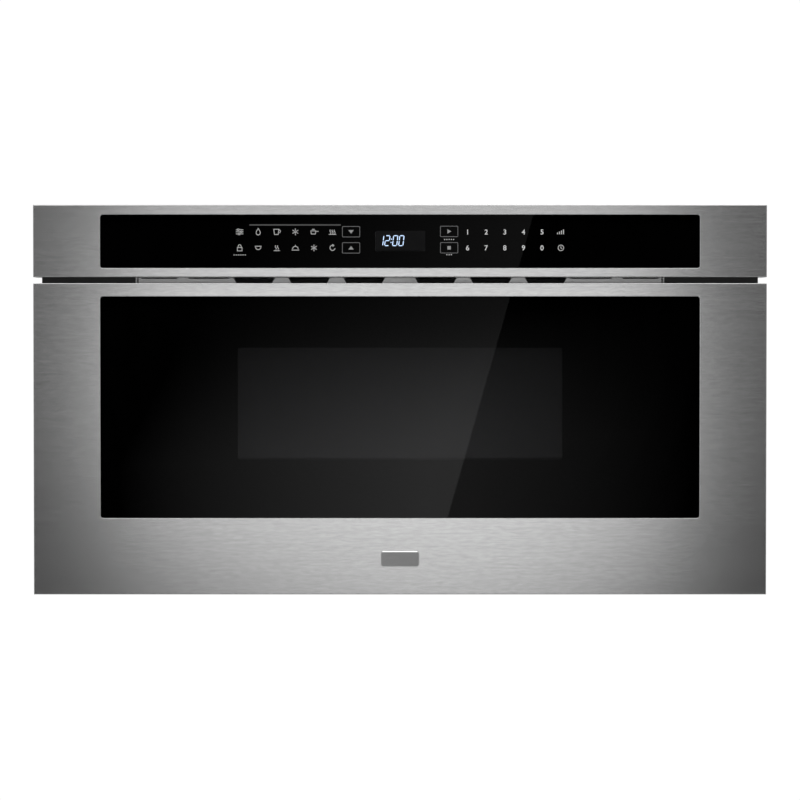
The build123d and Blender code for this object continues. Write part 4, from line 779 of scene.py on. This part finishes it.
FRONT_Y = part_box("control_fascia")[0].y
CAMERA_DISTANCE = 3.0
CAMERA_HEIGHT = 0.2655
CAMERA_PITCH = math.radians(-1.2)
CAMERA_LENS = 130.45
TABLE_REACH = 8
WHITE_LEVEL = 1.02

lens = bpy.data.cameras.new("camera")
lens.lens = CAMERA_LENS
lens.sensor_width = 36.0
lens.clip_start, lens.clip_end = 0.05, 60.0
camera = bpy.data.objects.new("camera", lens)
camera.location = (0.0, FRONT_Y - CAMERA_DISTANCE, CAMERA_HEIGHT)
camera.rotation_euler = (math.pi / 2 + CAMERA_PITCH, 0.0, 0.0)
studio.collection.objects.link(camera)
studio.camera = camera


def plane(name, corners, finish):
    """A flat sheet of the studio through four corners."""
    data = bpy.data.meshes.new(name)
    data.from_pydata(corners, [], [(0, 1, 2, 3)])
    data.materials.append(finish)
    sheet = bpy.data.objects.new(name, data)
    studio.collection.objects.link(sheet)
    return sheet


def glowing(name, strength):
    """A material that gives off plain white light; returns it with its emission node."""
    finish = bpy.data.materials.new(name)
    finish.use_nodes = True
    nodes, links = finish.node_tree.nodes, finish.node_tree.links
    nodes.remove(nodes["Principled BSDF"])
    glow = nodes.new("ShaderNodeEmission")
    glow.inputs["Strength"].default_value = strength
    links.new(glow.outputs["Emission"], nodes["Material Output"].inputs["Surface"])
    return finish, glow


table_corners = rectangle(-TABLE_REACH, TABLE_REACH, -TABLE_REACH, TABLE_REACH)
table_top = plane("studio_floor", [(x, y, 0) for x, y in table_corners],
                  glowing("white_table", WHITE_LEVEL)[0])
table_top.visible_diffuse = table_top.visible_glossy = False
table_top.visible_transmission = table_top.visible_shadow = False

# the world is white to the camera and a soft grey room to everything else, with a
# dark gap behind the camera so that the glass stays black
ROOM_LEVEL = 0.45
GAP_LEVEL = 0.01
GAP_EDGE = math.radians(38)  # away from straight behind the camera
GAP_CORE = math.radians(12)

room = bpy.data.worlds.new("soft_room")
room.use_nodes = True
nodes, links = room.node_tree.nodes, room.node_tree.links
room_light = nodes["Background"]
room_light.inputs["Color"].default_value = (1, 1, 1, 1)
backdrop = nodes.new("ShaderNodeBackground")
backdrop.inputs["Color"].default_value = (1, 1, 1, 1)
backdrop.inputs["Strength"].default_value = WHITE_LEVEL
direction = nodes.new("ShaderNodeTexCoord")
backwards = nodes.new("ShaderNodeVectorMath")
backwards.operation = "DOT_PRODUCT"
backwards.inputs[1].default_value = (0.0, -1.0, 0.0)
links.new(direction.outputs["Generated"], backwards.inputs[0])
room_level = fade(backwards.outputs["Value"], low=math.cos(GAP_EDGE), high=math.cos(GAP_CORE),
                  first=ROOM_LEVEL, last=GAP_LEVEL, soft=True)
links.new(room_level, room_light.inputs["Strength"])
who_looks = nodes.new("ShaderNodeLightPath")
either = nodes.new("ShaderNodeMixShader")
links.new(who_looks.outputs["Is Camera Ray"], either.inputs[0])
links.new(room_light.outputs[0], either.inputs[1])
links.new(backdrop.outputs[0], either.inputs[2])
links.new(either.outputs[0], nodes["World Output"].inputs["Surface"])
studio.world = room


def soft_light(name, place, target, width, height, power):
    """A rectangular soft box that nobody sees directly."""
    lamp = bpy.data.lights.new(name, "AREA")
    lamp.shape = "RECTANGLE"
    lamp.size, lamp.size_y = width, height
    lamp.energy = power
    box = bpy.data.objects.new(name, lamp)
    box.location = place
    box.rotation_euler = (Vector(target) - Vector(place)).to_track_quat("-Z", "Y").to_euler()
    box.visible_camera = False
    studio.collection.objects.link(box)
    return box


only_panes = bpy.data.collections.new("only_panes")
not_panes = bpy.data.collections.new("not_panes")
for name in ("control_glass", "drawer_glass", "badge_plate"):
    only_panes.objects.link(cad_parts[name])
    not_panes.objects.link(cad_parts[name])
for entry in not_panes.collection_objects:
    entry.light_linking.link_state = "EXCLUDE"

# behind the camera stand the steel's card, the glass's card, a black flag and a light
STEEL_CARD_Y = FRONT_Y - 3.15
GLASS_CARD_Y = STEEL_CARD_Y - 0.03
BLACK_FLAG_Y = STEEL_CARD_Y - 0.06
WIDE_LIGHT_Y = STEEL_CARD_Y - 0.1

fill = soft_light("wide_light", place=(0, WIDE_LIGHT_Y, 1.4), target=(0, FRONT_Y, 1.4),
                  width=4.0, height=3.0, power=16.0)
fill.light_linking.receiver_collection = not_panes
soft_light("top_light", place=(0.0, -0.9, 2.4), target=(0, 0, 0.2),
           width=2.4, height=1.6, power=25.0)
soft_light("back_light", place=(0.6, 3.0, 1.6), target=(0, 0.3, 0.2),
           width=1.8, height=1.2, power=25.0)

# a small low light that only the window screen takes up
window_light = soft_light("window_light", place=(-0.02, FRONT_Y - 0.22, 0.02),
                          target=(-0.01, FRONT_Y, 0.16), width=0.30, height=0.05, power=0.60)
only_screen = bpy.data.collections.new("only_screen")
only_screen.objects.link(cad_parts["window_screen"])
window_light.light_linking.receiver_collection = only_screen

SHEET_HALF_WIDTH = 1.0
SHEET_TOP = 1.0
CARD_FOOT = -0.7
FLAG_FOOT = -0.65


def upright(name, y, foot, finish):
    """A studio sheet that stands across the view at y, unseen by the camera."""
    outline = rectangle(-SHEET_HALF_WIDTH, SHEET_HALF_WIDTH, foot, SHEET_TOP)
    sheet = plane(name, [(x, y, z) for x, z in outline], finish)
    sheet.visible_camera = False
    return sheet


def math_step(kind, one, two=0.0):
    """The two numbers, of which at least one comes from a node, combined by that kind of step."""
    tree = (one if isinstance(one, bpy.types.NodeSocket) else two).id_data
    step = tree.nodes.new("ShaderNodeMath")
    step.operation = kind
    for socket, value in zip(step.inputs, (one, two)):
        if isinstance(value, bpy.types.NodeSocket):
            tree.links.new(value, socket)
        else:
            socket.default_value = value
    return step.outputs[0]


def light_card(name, y, receivers):
    """A clear card that glows for its receivers; returns its emission, its x and its z."""
    finish, glow = glowing(name, 1.0)
    tree = finish.node_tree
    clear = tree.nodes.new("ShaderNodeBsdfTransparent")
    both = tree.nodes.new("ShaderNodeAddShader")
    tree.links.new(glow.outputs[0], both.inputs[0])
    tree.links.new(clear.outputs[0], both.inputs[1])
    tree.links.new(both.outputs[0], tree.nodes["Material Output"].inputs["Surface"])
    spot = tree.nodes.new("ShaderNodeTexCoord")
    axes = tree.nodes.new("ShaderNodeSeparateXYZ")
    tree.links.new(spot.outputs["Object"], axes.inputs[0])
    card = upright(name, y, CARD_FOOT, finish)
    card.visible_shadow = False
    card.light_linking.receiver_collection = receivers
    return glow, axes.outputs["X"], axes.outputs["Z"]


def set_strength(glow, level, value):
    """The emission's strength is the level times the value."""
    glow.id_data.links.new(math_step("MULTIPLY", value, level), glow.inputs["Strength"])


# the black flag keeps the wide light off the middle of the front
upright("black_flag", BLACK_FLAG_Y, FLAG_FOOT, glowing("flag_black", 0.0)[0])

# the card that lights the steel is soft at its edges; below the table's height it leans to
# one side and narrows in a curve
STEEL_LEVEL = 1.325
STEEL_LIFT = 1.035
HALF_WIDTH = 0.60
SIDE_SHIFT = 0.020
LEAN = 0.34
DROP = 0.345
ROUNDING = 2.8

glow, across, up = light_card("steel_light", STEEL_CARD_Y, not_panes)
below = math_step("MINIMUM", up, 0.0)
leaning = math_step("ADD", math_step("ADD", across, SIDE_SHIFT), math_step("MULTIPLY", below, LEAN))
aside = math_step("DIVIDE", math_step("ABSOLUTE", leaning), HALF_WIDTH)
depth = math_step("POWER", math_step("DIVIDE", math_step("ABSOLUTE", below), DROP), ROUNDING)
reach = math_step("ADD", aside, depth)
shape = math_step("MULTIPLY", fade(reach, low=0.90, high=1.10, first=1.0, last=0.0, soft=True),
                  fade(up, low=0.44, high=0.72, first=1.0, last=0.0, soft=True))
lift = fade(up, low=0.15, high=0.42, first=1.0, last=STEEL_LIFT, soft=True)
set_strength(glow, STEEL_LEVEL, math_step("MULTIPLY", shape, lift))

# the card seen in the glass is bright below and towards its slanted right edge; beyond
# that edge a dimmer part fades out to the right
GLASS_LEVEL = 0.545
UPPER_SLANT = 0.5
EDGE_SLANT = 0.2833
EDGE_PLACE = 0.1341

glow, across, up = light_card("glass_card", GLASS_CARD_Y, only_panes)
slanted = math_step("SUBTRACT", across,
                    math_step("MULTIPLY", math_step("MAXIMUM", up, 0.0), UPPER_SLANT))
left_side = math_step("MULTIPLY", fade(slanted, low=-0.60, high=0.06, first=0.0, last=1.0),
                      fade(up, low=0.0, high=0.36, first=1.0, last=0.23, soft=True))
right_side = math_step("MULTIPLY", fade(across, low=0.15, high=0.62, first=0.37, last=0.0),
                       fade(up, low=0.06, high=0.33, first=1.0, last=0.0))
from_edge = math_step("SUBTRACT", across, math_step("MULTIPLY", up, EDGE_SLANT))
right_of = math_step("GREATER_THAN", from_edge, EDGE_PLACE)
left_part = math_step("MULTIPLY", left_side, math_step("SUBTRACT", 1.0, right_of))
right_part = math_step("MULTIPLY", right_side, right_of)
set_strength(glow, GLASS_LEVEL, math_step("ADD", left_part, right_part))
